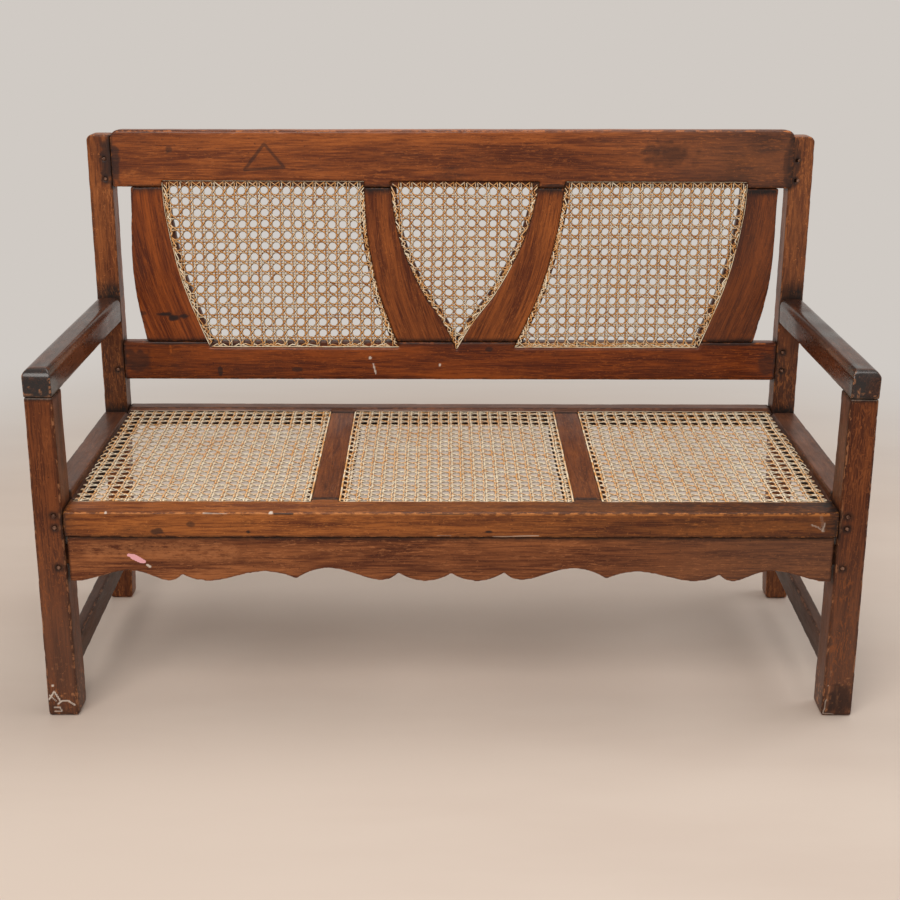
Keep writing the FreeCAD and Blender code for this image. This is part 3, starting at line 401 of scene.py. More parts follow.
# The planes of the woven panels: where each starts, back and up, how far it leans back
# from upright, and how deep the middle of its net lies. Lengths are in metres.
PLANES = {
    "back": ((POST_SETBACK - FRONT_FACE) * MM, 0.0, LEAN, 0.0030),
    "seat": (SEAT_FRONT, SEAT_LOW, math.pi / 2 - SEAT_TILT, 0.0020),
}


def in_plane(points, word):
    """Across, up and behind, in mm, in the plane of the back or of the seat."""
    start, base, lean, net = PLANES[word]
    back = (points[:, 1] - start) / MM
    up = (points[:, 2] - base) / MM
    return np.column_stack([points[:, 0] / MM, back * math.sin(lean) + up * math.cos(lean),
                            back * math.cos(lean) - up * math.sin(lean)])


# Timber.
VOXEL = 0.0021
GRAIN = {"x": (0, 1, 2), "y": (1, 0, 2), "z": (2, 0, 1)}
TIMBERS = {
    "crest_rail": ("x", "crest"),
    "lower_back_rail": ("x", "lower"),
    "splat_outer_left": ("outer", "splat"),
    "splat_inner_left": ("inner", "vee"),
    "splat_inner_right": ("inner", "vee"),
    "splat_outer_right": ("outer", "splat"),
    "back_post_left": ("z", "post"),
    "back_post_right": ("z", "post"),
    "front_leg_left": ("z", "leg"),
    "front_leg_right": ("z", "leg"),
    "arm_left": ("y", "arm"),
    "arm_right": ("y", "arm"),
    "front_seat_rail": ("x", "front"),
    "back_seat_rail": ("x", "side"),
    "side_seat_rail_left": ("y", "side"),
    "side_seat_rail_right": ("y", "side"),
    "seat_cross_rail_left": ("y", "cross"),
    "seat_cross_rail_right": ("y", "cross"),
    "side_stretcher_left": ("y", "brace"),
    "side_stretcher_right": ("y", "brace"),
    "apron": ("x", "apron"),
}
LEANING_KINDS = ("crest", "lower", "splat", "vee")


def smoothed(rows, edges, times):
    """Rows of numbers, one for each point, averaged over the neighbours so many times."""
    count = np.maximum(np.bincount(edges.ravel(), minlength=len(rows)), 1)[:, None]
    for step in range(times):
        total = np.zeros_like(rows)
        for axis in range(rows.shape[1]):
            for here, there in ((0, 1), (1, 0)):
                total[:, axis] += np.bincount(edges[:, here], rows[edges[:, there], axis], len(rows))
        rows = total / count
    return rows


def timber_mesh(name):
    """A dense mesh of a node, with its arrises a little softened."""
    carrier = add_object(name + "_blank", NODES[name].data.copy())
    remesh = carrier.modifiers.new("remesh", "REMESH")
    remesh.mode = "VOXEL"
    remesh.voxel_size = VOXEL
    soften = carrier.modifiers.new("soften", "SMOOTH")
    soften.factor = 0.5
    soften.iterations = 2
    graph = bpy.context.evaluated_depsgraph_get()
    mesh = bpy.data.meshes.new_from_object(carrier.evaluated_get(graph))
    bpy.data.objects.remove(carrier)
    mesh.materials.clear()
    if "sharp_face" in mesh.attributes:
        mesh.attributes.remove(mesh.attributes["sharp_face"])
    mesh.shade_smooth()
    return mesh


REAR_RISE = 4.5


def raise_rear(mesh):
    """Lets the rear rail stand a little higher than the cane in front of it."""
    points = coordinates(mesh)
    local = in_plane(points, "seat")
    lift = smoothstep(local[:, 1], SEAT_RUN - 0.5, SEAT_RUN + 2.5) * smoothstep(-local[:, 2], -14, -2)
    points[:, 2] += REAR_RISE * MM * lift
    move_points(mesh, points)


CREST_REACH = 7.0
CREST_RISE = 3.0
CREST_PEGS = 4.5


def stretch_crest(mesh):
    """The crest laps a little over one post, and its top stands higher at that end."""
    points = coordinates(mesh)
    up = in_plane(points, "back")[:, 1]
    across = points[:, 0] / MM
    points[:, 0] += CREST_REACH * MM * smoothstep(across, 590, 652)
    points[:, 2] += CREST_RISE * MM * smoothstep(across, -650, 600) * smoothstep(up, 880, 965)
    move_points(mesh, points)


ARM_ROUNDS = (0.0135, 0.0070)
NOSE_EXTRA = 0.006
NOSE_RUN = 0.35


def round_arm(mesh, name):
    """Gives an arm fuller rounds along its top edges and over its nose."""
    low, high = (np.array(corner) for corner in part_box(name))
    points = coordinates(mesh)
    behind = smoothstep(points[:, 1], low[1], low[1] + NOSE_RUN)
    along = ARM_ROUNDS[0] + (ARM_ROUNDS[1] - ARM_ROUNDS[0]) * behind
    for axis, sign, radius in ((0, 1, along), (0, -1, along), (1, -1, along + NOSE_EXTRA)):
        centre = (high[axis] if sign > 0 else low[axis]) - sign * radius
        out = sign * (points[:, axis] - centre)
        up = points[:, 2] - high[2] + radius
        reach = np.maximum(np.hypot(out, up), 1e-9)
        factor = np.where((out > 0) & (up > 0) & (reach > radius), radius / reach, 1)
        points[:, axis] = centre + sign * out * factor
        points[:, 2] = high[2] - radius + up * factor
    move_points(mesh, points)


def grain_of(points, name, number):
    """Along the grain, then across it twice, in metres."""
    axis = TIMBERS[name][0]
    shift = np.random.default_rng(SEED + number).uniform(2, 9, 3)
    if axis in GRAIN:
        return points[:, GRAIN[axis]] + shift
    local = in_plane(points, "back")
    line = EDGES[axis, name.split("_")[-1]]
    across = local[:, 0] - np.interp(local[:, 1], line[:, 1], line[:, 0])
    return np.column_stack([local[:, 1], across, local[:, 2]]) * MM + shift


ARRIS = (0.0002, 0.0011)
RUB_DEPTH = 0.0003
CHIP_DEPTH = 0.0007
LUMP_HEIGHT = 0.00022


def wear_timber(mesh, name, number):
    """Rubs the edges, makes the faces uneven and notes where wear lies and how near each point is to a
    joint or a hollow.
    """
    points = coordinates(mesh)
    normal = coordinates(mesh, "normal")
    edges = np.empty(len(mesh.edges) * 2, dtype=np.int32)
    mesh.edges.foreach_get("vertices", edges)
    edges = edges.reshape(-1, 2)
    out = np.einsum("ij,ij->i", points - smoothed(points, edges, 8), normal)
    convex = smoothed(smoothstep(out, *ARRIS)[:, None], edges, 2)
    hollow = smoothstep(-out, *ARRIS)
    even = smoothed(points, edges, 2)
    lumps = LUMP_HEIGHT * field(points, 0.045, SEED + number)
    chips = smoothstep(field(points, 0.011, SEED + 7 + number), 0.35, 0.8)
    slow = field(points, 0.03, SEED + 3 + number)
    depth = convex[:, 0] * (CHIP_DEPTH * chips + RUB_DEPTH * (slow + 0.4))
    move_points(mesh, points + 0.8 * convex * (even - points) + normal * (lumps - depth)[:, None])
    store(mesh, "wear", convex[:, 0])
    store(mesh, "joint_and_hollow_dark", np.maximum(contact_with_neighbours(points, name), 0.75 * hollow))
    store(mesh, "grain", grain_of(points, name, number))
    return points, normal


REACH = 0.011


def contact_with_neighbours(points, name):
    """How near each point is to another piece: 1 at the joint, 0 from REACH away."""
    near = np.zeros(len(points))
    for other, (tree, low, high) in TREES.items():
        if other == name:
            continue
        inside = np.all((points > low - REACH) & (points < high + REACH), axis=1)
        for index in np.flatnonzero(inside):
            hit = tree.find_nearest(points[index], REACH)
            if hit[3] is not None:
                near[index] = max(near[index], 1 - hit[3] / REACH)
    return near


def node_trees():
    trees = {}
    for name, node in NODES.items():
        if "cane" in name or "binder" in name:
            continue
        mesh = node.data
        mesh.calc_loop_triangles()
        points = coordinates(mesh)
        faces = [tuple(t.vertices) for t in mesh.loop_triangles]
        trees[name] = (BVHTree.FromPolygons(points.tolist(), faces), points.min(0), points.max(0))
    return trees


# Marks of use on the faces seen from the front, by kind, and along the front rail's top arris partly a
# painted highlight. A spot is its place in mm (across, and up along the face), its two half sizes and its
# strength. A line is its points, its width and its strength.
MARKS = {
    "crest_rail": {
        "mark": [([(-398, 891), (-359, 940), (-322, 896), (-398, 891)], 6.0, 0.50),
            ([(-18, 893), (16, 940), (60, 893)], 3.6, 0.20), (-543, 928, 9, 8, 0.45),
            (418, 921, 70, 30, 0.40), (424, 924, 40, 17, 0.50), (-646, 902, 10, 44, 0.60),
            (648, 905, 9, 46, 0.45), (-205, 862, 26, 5, 0.55), (205, 862, 28, 5, 0.55)],
        "rub": [(-617, 884, 17, 9, 0.40), ([(-250, 958), (-190, 957)], 3.0, 0.35)],
    },
    "lower_back_rail": {
        "mark": [(-463, 493, 5, 12, 0.65), (-308, 496, 12, 6, 0.55), (-628, 515, 34, 26, 0.50),
            (-560, 549, 60, 4, 0.60), (78, 538, 8, 5, 0.60), (560, 549, 50, 4, 0.55),
            (636, 510, 20, 30, 0.45)],
        "pale": [([(-155, 508), (-150, 488)], 2.6, 0.75), (-161, 520, 3, 3, 0.90), (-21, 506, 3, 4, 0.90)],
        "rub": [([(-561, 548), (-560, 530)], 2.2, 0.50)],
    },
    "splat_outer_right": {
        "mark": [(-568, 608, 16, 5, 0.90), (-550, 601, 12, 8, 0.90), (-530, 604, 13, 4, 0.75),
            (-545, 606, 44, 12, 0.32), (-612, 610, 9, 6, 0.50)],
    },
    "front_seat_rail": {
        "mark": [(-500, 357, 14, 7, 0.62), (-441, 370, 8, 7, 0.50), (-345, 356, 4, 3, 0.80),
            (63, 357, 9, 2.4, 0.85), ([(-300, 389), (-268, 389)], 2.6, 0.90),
            ([(-35, 389), (20, 389)], 2.4, 0.70)],
        # The faint pale line along the whole top arris is partly wear, partly a painted highlight.
        "pale": [([(-640, 389), (640, 389)], 2.0, 0.13), (-584, 390, 2.6, 2.0, 0.80),
            (-305, 390, 4.0, 2.0, 0.80), ([(-420, 390), (-380, 389)], 2.0, 0.45),
            ([(70, 348), (148, 349)], 2.0, 0.50), ([(-24, 349), (0, 349)], 1.8, 0.35),
            ([(626, 384), (632, 360)], 6.5, 0.24), ([(611, 370), (622, 366), (632, 358)], 2.4, 0.45),
            ([(634, 374), (630, 358)], 2.0, 0.45)],
        # The rub along the whole top arris is partly wear, partly a painted highlight.
        "rub": [([(-640, 389), (640, 388)], 2.2, 0.62), ([(68, 347), (151, 348)], 3.0, 0.90),
            ([(-30, 348), (5, 348)], 2.6, 0.60)],
    },
    "apron": {
        "pink": [([(-551, 311), (-541, 309), (-529, 301)], 5.0, 1.00),
            ([(-546, 307), (-533, 300), (-526, 299)], 5.0, 1.00)],
        "pale": [([(-521, 293), (-516, 289)], 3.2, 0.95)],
        "mark": [(-668, 300, 14, 40, 0.35)],
        "rub": [([(-610, 318), (-520, 322), (-380, 316)], 26, 0.36)],
    },
    "arm_right": {
        "rub": [(-702, 611, 2.2, 1.6, 0.90), (-706, 604, 2.6, 1.6, 0.90),
            ([(-673, 607), (-671, 600)], 2.2, 0.90), ([(-698, 599), (-686, 598)], 2.6, 0.80),
            (-690, 612, 1.8, 1.8, 0.80), (-680, 596, 2.0, 1.5, 0.80)],
    },
    "arm_left": {
        "rub": [([(666, 612), (665, 594)], 3.0, 0.90), (684, 606, 1.8, 1.8, 0.90),
            (702, 607, 2.0, 1.6, 0.90), (693, 600, 2.6, 1.6, 0.90), (673, 603, 2.4, 1.4, 0.70)],
    },
    "front_leg_right": {
        "pale": [([(-713, 33), (-702, 49), (-693, 31)], 2.2, 0.95), ([(-711, 42), (-700, 30)], 1.8, 0.80),
            ([(-697, 24), (-689, 31), (-679, 31), (-668, 22)], 2.2, 0.95),
            ([(-705, 17), (-694, 17), (-692, 10), (-704, 9)], 2.0, 0.65), (-704, 61, 2.4, 2.4, 0.90)],
    },
    "front_leg_left": {
        "mark": [(690, 30, 22, 40, 0.50)],
        "pale": [(669, 62, 1.6, 1.6, 0.60), ([(668, 34), (665, 6), (684, 4)], 2.0, 0.50)],
        "rub": [([(684, 60), (688, 22)], 3.0, 0.50), ([(672, 60), (668, 10)], 3.0, 0.70)],
    },
    "back_post_right": {"mark": [(-664, 905, 12, 52, 0.70)]},
    "back_post_left": {"mark": [(664, 905, 11, 50, 0.60)]},
}
ARM_SEAM = 591.0
MARK_WORDS = ("mark", "pale", "rub", "pink", "ledge")
FACE_DEPTH = 7.0
SEAT_KINDS = ("front", "side", "cross")
UNDER_CANE = {"seat": (2.2, 14), "back": (2.2, 26)}


def spot(flat, across, up, wide, high, rough):
    """1 inside an uneven round spot, 0 outside."""
    away = np.hypot((flat[:, 0] - across) / wide, (flat[:, 1] - up) / high)
    return smoothstep(away + 0.35 * rough, 1.2, 0.55)


def stroke(flat, line, width):
    """1 on a drawn line, 0 away from it."""
    near = np.full(len(flat), 1e9)
    line = np.array(line, dtype=float)
    for start, run in zip(line, np.diff(line, axis=0)):
        share = np.clip((flat - start) @ run / (run @ run), 0, 1)
        near = np.minimum(near, np.linalg.norm(flat - start - share[:, None] * run, axis=1))
    return smoothstep(near, 0.85 * width, 0.35 * width)


def shaded_under_cane(points, kind):
    """1 where the wood lies under a woven panel, where its colour is darkened as painted shade."""
    word = "seat" if kind in SEAT_KINDS else "back"
    local = in_plane(points, word)
    low, high = UNDER_CANE[word]
    near = np.flatnonzero((local[:, 2] > low) & (local[:, 2] < high))
    flat = local[near, :2]
    covered = np.zeros(len(points))
    for name, outline in OUTLINES.items():
        if name.startswith(word):
            chosen = near[np.all((flat > outline.min(0)) & (flat < outline.max(0)), axis=1)]
            corners = outline if len(outline) < 9 else outline[::3]
            inside = depth_inside(corners, local[chosen, :2]) > -0.4
            covered[chosen] = np.maximum(covered[chosen], inside)
    return covered


def handling_and_shade_of(points, normal, kind, rough):
    """How far the wood is painted dark grey, from 0 to 1: mostly from handling, but painted shade on the
    hidden faces of the seat rails and partly on the posts below the arms.
    """
    across = points[:, 0] / MM
    height = points[:, 2] / MM
    top = smoothstep(normal[:, 2], 0.5, 0.9)
    dark = np.zeros(len(points))
    if kind == "arm":
        front = points[:, 1] / MM + FRONT_FACE
        dark = 0.22 + (0.55 + 0.3 * rough) * smoothstep(front, 60, 6) + 0.30 * rough
        dark += 0.37 * smoothstep(normal[:, 2], 0.35, 0.8)
        dark *= 1 - 0.6 * band(front, 9, 14, 18, 26) * smoothstep(normal[:, 2], 0.5, 0.8)
    if kind == "brace":
        dark = 0.34 + 0.2 * rough
    if kind in ("splat", "vee"):
        up = in_plane(points, "back")[:, 1]
        ends = 0.75 * smoothstep(up, 838, 857) + 0.55 * smoothstep(up, 566, 553)
        dark = ends * (1 + 0.5 * rough) + 0.30 * smoothstep(across, 400, 560)
    if kind == "post":
        joints = 0.75 * band(height, 634, 641, 652, 690) + 0.5 * band(height, 372, 395, 410, 432)
        # Darker from just below the arms down to the seat, less so lower down: partly the wood's own tone,
        # partly painted shade under the arms.
        dark = (0.12 + 0.33 * smoothstep(height, 330, 420)) * smoothstep(height, 610, 430)
        dark += joints * (1 + 0.5 * rough) * smoothstep(-normal[:, 1], -0.4, 0.5)
    if kind == "leg":
        foot = (0.26 + 0.20 * (across > 0)) * smoothstep(height, 84, 8)
        # The inward faces of the legs are a little darker.
        dark = foot * (1 + 0.7 * rough) + 0.12 * smoothstep(-normal[:, 0] * np.sign(across), 0.5, 0.9)
    if kind == "lower":
        dark = 0.20 * smoothstep(across, -250, -560) * (1 + rough)
    if kind == "crest":
        dark = 0.30 * smoothstep(across, 330, 560) * (1 + rough)
    if kind == "front":
        dark = 0.08 + 0.42 * smoothstep(across, -250, 620) + 0.30 * smoothstep(np.abs(across), 620, 655)
        dark += 0.22 * top * smoothstep(across, -420, -60)
    if kind == "apron":
        dark = 0.28 * smoothstep(across, 150, 560)
    if kind in ("side", "cross"):
        # Painted shade: the inward and rear faces of the seat rails under the cane go almost black.
        inward = np.abs(normal[:, 0]) if kind == "cross" else -normal[:, 0] * np.sign(across)
        hidden = smoothstep(np.maximum(inward, -normal[:, 1]), 0.5, 0.9)
        dark = 0.92 * hidden * smoothstep(in_plane(points, "seat")[:, 2], 3, 9)
    if kind == "side":
        dark = np.maximum(dark, 0.10 + 0.12 * top + 0.2 * rough)
    return np.clip(dark, 0, 1)


def haze_of(points, normal, kind):
    """How far a dull film covers the wood, from 0 to 1."""
    across = points[:, 0] / MM
    if kind == "leg":
        return 0.42 * smoothstep(points[:, 2] / MM, 430, 90)
    if kind in ("crest", "apron"):
        return 0.32 * smoothstep(across, 150, 600)
    if kind in ("post", "splat"):
        return 0.16 * smoothstep(across, 60, 600)
    strength = {"side": 0.25, "brace": 0.50}.get(kind, 0.0)
    return strength * smoothstep(normal[:, 2], 0.5, 0.9)


def mark_timber(mesh, name, points, normal, number):
    """Stains, rubs and chips that belong to one place on one piece."""
    kind = TIMBERS[name][1]
    rough = field(points, 0.009, SEED + 40 + number)
    values = {word: np.zeros(len(points)) for word in MARK_WORDS}
    if kind in LEANING_KINDS or kind == "post":
        flat, behind = np.split(in_plane(points, "back"), [2], axis=1)
    else:
        flat = points[:, (0, 2)] / MM
        behind = points[:, 1:2] / MM + FRONT_FACE
    front = behind[:, 0] < FACE_DEPTH
    for word, entries in MARKS.get(name, {}).items():
        for *shape, strength in entries:
            drawn = stroke(flat, *shape) if len(shape) == 2 else spot(flat, *shape, rough)
            values[word] = np.maximum(values[word], strength * drawn * front)
    if kind in LEANING_KINDS + SEAT_KINDS:
        # Painted shade: the wood under the woven panels is darkened.
        values["ledge"] = shaded_under_cane(points, kind)
    if kind == "leg":
        joint = smoothstep(points[:, 2] / MM, ARM_SEAM - 0.6, ARM_SEAM + 0.6) * (normal[:, 1] < -0.4)
        values["pale"] = np.maximum(values["pale"], 0.34 * joint)
        specks = smoothstep(field(points, 0.0045, SEED + 80 + number), 0.35, 0.60)
        values["rub"] = np.maximum(values["rub"], specks * smoothstep(points[:, 2] / MM, 140, 40))
    values["handling_and_shade"] = handling_and_shade_of(points, normal, kind, field(points, 0.05, SEED + 60 + number))
    values["haze"] = haze_of(points, normal, kind)
    for word, entry in values.items():
        store(mesh, word, entry)


# Base colour, share of stain, share of light dashes, roughness, coat.
WOODS = {
    "crest": ((128, 65, 27), 0.60, 0.40, 0.38, 0.14),
    "lower": ((126, 58, 17), 0.55, 0.36, 0.40, 0.10),
    "splat": ((117, 54, 18), 0.38, 0.32, 0.42, 0.08),
    "vee": ((129, 66, 27), 0.36, 0.36, 0.42, 0.06),
    "post": ((120, 64, 30), 0.50, 0.70, 0.42, 0.06),
    "leg": ((96, 47, 20), 0.45, 0.75, 0.46, 0.04),
    "arm": ((86, 46, 26), 0.50, 0.60, 0.30, 0.28),
    "front": ((141, 77, 33), 0.45, 0.46, 0.42, 0.06),
    "apron": ((126, 71, 38), 0.30, 0.42, 0.50, 0.02),
    "side": ((100, 54, 30), 0.40, 0.60, 0.42, 0.10),
    "brace": ((94, 54, 32), 0.40, 0.30, 0.46, 0.04),
    "cross": ((106, 55, 25), 0.45, 0.50, 0.46, 0.03),
    "peg": ((104, 68, 48), 0.45, 0.60, 0.42, 0.08),
}
JOINT_AND_HOLLOW_TONE = linear(26, 16, 12)
STAIN = linear(38, 25, 22)
# Painted shade for the wood under the cane.
PAINTED_CANE_SHADE = linear(58, 32, 18)
# Dark grey of handling, also used as painted shade.
HANDLING_AND_SHADE_TONE = linear(31, 22, 19)
HAZE = linear(122, 88, 70)
BARE = linear(168, 112, 74)
CHALK = linear(214, 200, 186)
CHIP = linear(240, 176, 184)
SPECULAR = 0.22


def toned(colour, red, green, blue):
    return linear(*(part * factor for part, factor in zip(colour, (red, green, blue))))


def wood_material(kind):
    base, stained, dashed, rough, coat = WOODS[kind]
    material = bpy.data.materials.new("wood_" + kind)
    graph = Graph(material)
    span, mix, value = graph.span, graph.mix, graph.attribute
    grain = value("grain", "Vector")

    def noise(along, across, *entries):
        return graph.noise(grain, (along, across, across), *entries)

    figure = noise(3.0, 34, 6.0, 0.60, 0.8)
    fibre = noise(11, 250, 4.0, 0.62)
    tone = figure * 0.40 + (fibre + noise(24, 520, 3.0, 0.6)) * 0.30
    colour = mix(span(tone, 0.40, 0.60), toned(base, 0.70, 0.60, 0.55), toned(base, 1.22, 1.30, 1.38))
    broad = noise(1.7, 10, 4.0)
    shade = mix(span(broad, 0.32, 0.68), (0.72, 0.66, 0.64, 1), (1.18, 1.20, 1.18, 1))
    colour = mix(1.0, colour, shade, "MULTIPLY")

    # Pale dashes, nicks and thin lines.
    patch = noise(8, 22, 3.0)
    dash = noise(75, 430, 2.0, 0.6, 0.3)
    nick = graph.noise(grain, (300, 200, 300), 2.0, 0.5, 1.2)
    wander = graph.math("ABSOLUTE", noise(26, 70, 2.0, 0.5, 0.8) - 0.5)
    lines = span(wander, 0.010, 0.042, 1.0, 0.0) * span(patch, 0.48, 0.58) * span(dash, 0.36, 0.52)
    rubs = graph.largest(span(dash, 0.57, 0.66) * span(patch, 0.36, 0.62), span(nick, 0.66, 0.71),
                         lines * min(max(2.2 * (dashed - 0.40), 0.05), 1.0))

    # Where the layers of colour lie.
    pores = graph.largest(span(noise(150, 1100, 2.0, 0.6), 0.58, 0.70) * 0.6,
                          span(noise(210, 210, 2.0), 0.69, 0.74))
    blot = noise(10, 30, 6.0, 0.72)
    edge = noise(60, 130, 4.0, 0.7)
    handling_and_shade_share = value("handling_and_shade") * span(edge, 0.25, 0.65, 0.70, 1.20)
    worn = value("wear")
    rubbed = graph.largest(span(worn, 0.40, 0.90) * span(edge, 0.50, 0.57) * 0.75,
                           value("rub") * span(edge, 0.38, 0.56))
    smear = span(noise(40, 90, 4.0, 0.65), 0.28, 0.60, 0.40, 1.0)
    joint_and_hollow_share = span(value("joint_and_hollow_dark"), 0.15, 0.90) * smear

    def crisp(name):
        amount = value(name)
        shape = span(amount + (edge - 0.5) * 0.9 * amount, 0.10, 0.50)
        return shape * span(amount, 0.0, 1.0, 0.25, 1.0)

    scratch = toned(base, 1.50, 1.72, 2.00)
    layers = (
        (pores * 0.7, toned(base, 0.40, 0.34, 0.34)),
        (span(blot, 0.54, 0.72) * stained, toned(base, 0.42, 0.36, 0.40)),
        (value("haze") * span(broad, 0.2, 0.7, 0.6, 1.2), HAZE),
        # Darkening from handling, with painted shade on hidden rail faces and lower posts.
        (handling_and_shade_share, HANDLING_AND_SHADE_TONE),
        (rubs * dashed * (1.0 - handling_and_shade_share * 0.65), scratch),
        (span(worn, 0.15, 0.80) * 0.45, toned(base, 0.45, 0.38, 0.38)),
        (rubbed, BARE if kind in ("leg", "arm") else scratch),
        # Darker near joints with other pieces and in hollows.
        (joint_and_hollow_share * 0.85, JOINT_AND_HOLLOW_TONE),
        (crisp("mark"), STAIN),
        # Painted shade under the woven panels.
        (value("ledge") * 0.75, PAINTED_CANE_SHADE),
        (crisp("pale"), CHALK),
        (span(value("pink"), 0.35, 0.60), CHIP),
    )
    for share, tint in layers:
        colour = mix(share, colour, tint)
    gloss = span(blot, 0.35, 0.75, rough - 0.08, rough + 0.10) + joint_and_hollow_share * 0.12
    height = (fibre - pores) * 0.5 - rubs * 0.3 + blot * 0.7
    bump = graph.add("ShaderNodeBump", Strength=0.35, Distance=0.0005, Height=height)
    if kind == "arm":
        coat = span(value("handling_and_shade"), 0.60, 0.95, coat, 0.60)
    # The painted shade on the hidden rail faces also takes away their coat and raises their roughness.
    if kind in ("side", "cross"):
        dull = value("handling_and_shade")
        coat = span(dull, 0.50, 0.90, coat, 0.0)
        gloss += span(dull, 0.50, 0.90, 0.0, 0.5)
    graph.finish(graph.add("ShaderNodeBsdfPrincipled", Base_Color=colour, Roughness=gloss,
                           Specular_IOR_Level=SPECULAR, Normal=bump, Coat_Weight=coat, Coat_Roughness=0.13))
    return material


def finish_piece(piece, node):
    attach(piece, "root")
    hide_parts(node)


def make_timbers():
    shades = {kind: wood_material(kind) for kind in WOODS}
    for number, (name, (axis, kind)) in enumerate(TIMBERS.items()):
        mesh = timber_mesh(name)
        if name == "back_seat_rail":
            raise_rear(mesh)
        if kind == "crest":
            stretch_crest(mesh)
        if kind == "arm":
            round_arm(mesh, name)
        points, normal = wear_timber(mesh, name, number)
        mark_timber(mesh, name, points, normal, number)
        mesh.materials.append(shades[kind])
        piece = add_object(name + "_timber", mesh)
        finish_piece(piece, name)
    return shades["peg"]


# Pegs.
PEG_SIDES = 12
PEG_HALF = 0.0155
PEG_RINGS = ((PEG_HALF, 0.0034), (-PEG_HALF + 0.0012, 0.0035), (-PEG_HALF + 0.0002, 0.0034),
             (-PEG_HALF - 0.0005, 0.0025), (-PEG_HALF - 0.0008, 0.0012))


def make_pegs(material):
    """Whittled pegs with domed heads."""
    angle = 2 * math.pi * np.arange(PEG_SIDES) / PEG_SIDES
    circle = np.column_stack([np.cos(angle), np.sin(angle)])
    for number, name in enumerate(sorted(NODES)):
        if "_peg_" not in name:
            continue
        centre = np.mean([np.array(corner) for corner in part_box(name)], axis=0)
        if name.startswith("crest_peg_left"):
            centre[0] += CREST_PEGS * MM
        tilt = 0.0 if name.startswith(("front", "apron")) else LEAN
        inward = np.array((0, math.cos(tilt), -math.sin(tilt)))
        across = np.array((1.0, 0, 0))
        rise = np.cross(inward, across)
        chance = np.random.default_rng(SEED + number)
        shift = chance.uniform(-0.0004, 0.0004, 2)
        facet = 1 + chance.uniform(-0.07, 0.05, PEG_SIDES)
        rings = []
        for along, radius in PEG_RINGS:
            flat = radius * facet[:, None] * circle + shift
            rings.append(centre + inward * along + flat[:, :1] * across + flat[:, 1:] * rise)
        points = np.vstack(rings)
        mesh = smooth_mesh(name + "_whittled", points, tube_faces(len(rings), PEG_SIDES))
        store(mesh, "grain", points[:, (1, 0, 2)] + number)
        store(mesh, "wear", 0.8 * ((points - centre) @ inward < -PEG_HALF))
        for word in ("joint_and_hollow_dark", "handling_and_shade", "haze") + MARK_WORDS:
            store(mesh, word, np.zeros(len(points)))
        mesh.materials.append(material)
        finish_piece(add_object(name + "_whittled", mesh), name)


# Cane. A panel is a lattice of strand pairs, and the strands cross at these parts of
# a lattice step.
PAIR = 0.118
DIAGONAL = 0.146
STEPS = (PAIR, DIAGONAL, 0.25, 0.5 - DIAGONAL, 0.5 - PAIR, 0.5 + PAIR, 0.5 + DIAGONAL, 0.75,
         1 - DIAGONAL, 1 - PAIR)
ROUNDNESS = 0.036
UNLIKE = 0.20
HOLE_DEPTH = 3.4
FIRST_CROSS = 9.3
SUNK = -2.1
LIFT = 0.42


class Panel:
    """One woven panel: its outline, the lattice of its strands and its place."""

    def __init__(self, name, style, sides, columns, rows):
        self.name = name
        self.style = style
        self.outline = OUTLINES[name]
        self.sides = sides
        self.columns = columns
        self.rows = rows
        start, base, lean, net = PLANES[name[:4]]
        upward, normal = (0, math.sin(lean), math.cos(lean)), (0, -math.cos(lean), math.sin(lean))
        self.axes = np.array([(1.0, 0, 0), upward, normal])
        self.origin = np.array((0, start, base)) - net * self.axes[2]
        self.seed = SEED + sum(map(ord, name))

    def depth(self, points):
        return depth_inside(self.outline, points)

    def warp(self, spots):
        waves = [flat_field(spots, size, self.seed + turn) for turn, size in enumerate((90, 90, 34, 34))]
        return spots + 1.5 * np.column_stack(waves[:2]) + 0.75 * np.column_stack(waves[2:])

    def spot(self, across, along):
        """Lattice numbers to millimetres in the panel."""
        column = np.interp(across, np.arange(len(self.columns)), self.columns)
        row = np.interp(along, np.arange(len(self.rows)), self.rows)
        return self.warp(np.column_stack([column, row]))

    def world(self, local):
        """Across, up and out of the panel, in mm, to metres."""
        return self.origin + MM * local @ self.axes


def holes_of(panel):
    """Where the strands go down through the frame, in mm."""
    holes = []
    for line, spacing, strips in panel.sides:
        length = run_lengths(line)[-1]
        count = max(int(round(length / spacing)), 1)
        holes.append(points_at(line, (np.arange(count) + 0.5) / count * length))
    holes = np.vstack(holes)
    return holes[panel.depth(holes) > HOLE_DEPTH - 0.8]


def near_part(values, part):
    return np.isclose(values % 1, part)


def strand_jobs(columns, rows):
    """Every strand's family, lattice line and rise over or under what it crosses."""
    long_rows = np.array([base + part for base in range(rows) for part in STEPS])
    long_columns = np.array([base + part for base in range(columns) for part in STEPS])
    for family, lines, along, turn in (("up", columns, long_rows, 1), ("across", rows, long_columns, -1)):
        for line in range(1, lines - 1):
            for side in (-1, 1):
                over = near_part(along, turn * PAIR % 1) | near_part(along, 0.5 + side * PAIR)
                under = near_part(along, -turn * PAIR % 1) | near_part(along, 0.5 - side * PAIR)
                height = np.where(over == under, 0, np.where(over, side, -side)) * LIFT
                level_line = np.full(len(along), line + side * PAIR)
                path = (level_line, along) if family == "up" else (along, level_line)
                yield family, *path, height, -UNLIKE * side * turn
    on_column = near_part(long_columns, PAIR) | near_part(long_columns, 1 - PAIR)
    bend = ROUNDNESS * np.sin(2 * math.pi * long_columns)
    across = long_columns - bend
    for offset in range(-rows - 1, columns + 1):
        yield "slash", across, long_columns - 0.5 - offset + bend, np.where(on_column, 0.75, -0.45), 0
    for offset in range(-1, rows + columns + 1):
        yield "back", across, 0.5 + offset - long_columns - bend, np.where(on_column, -0.45, 0.75), 0


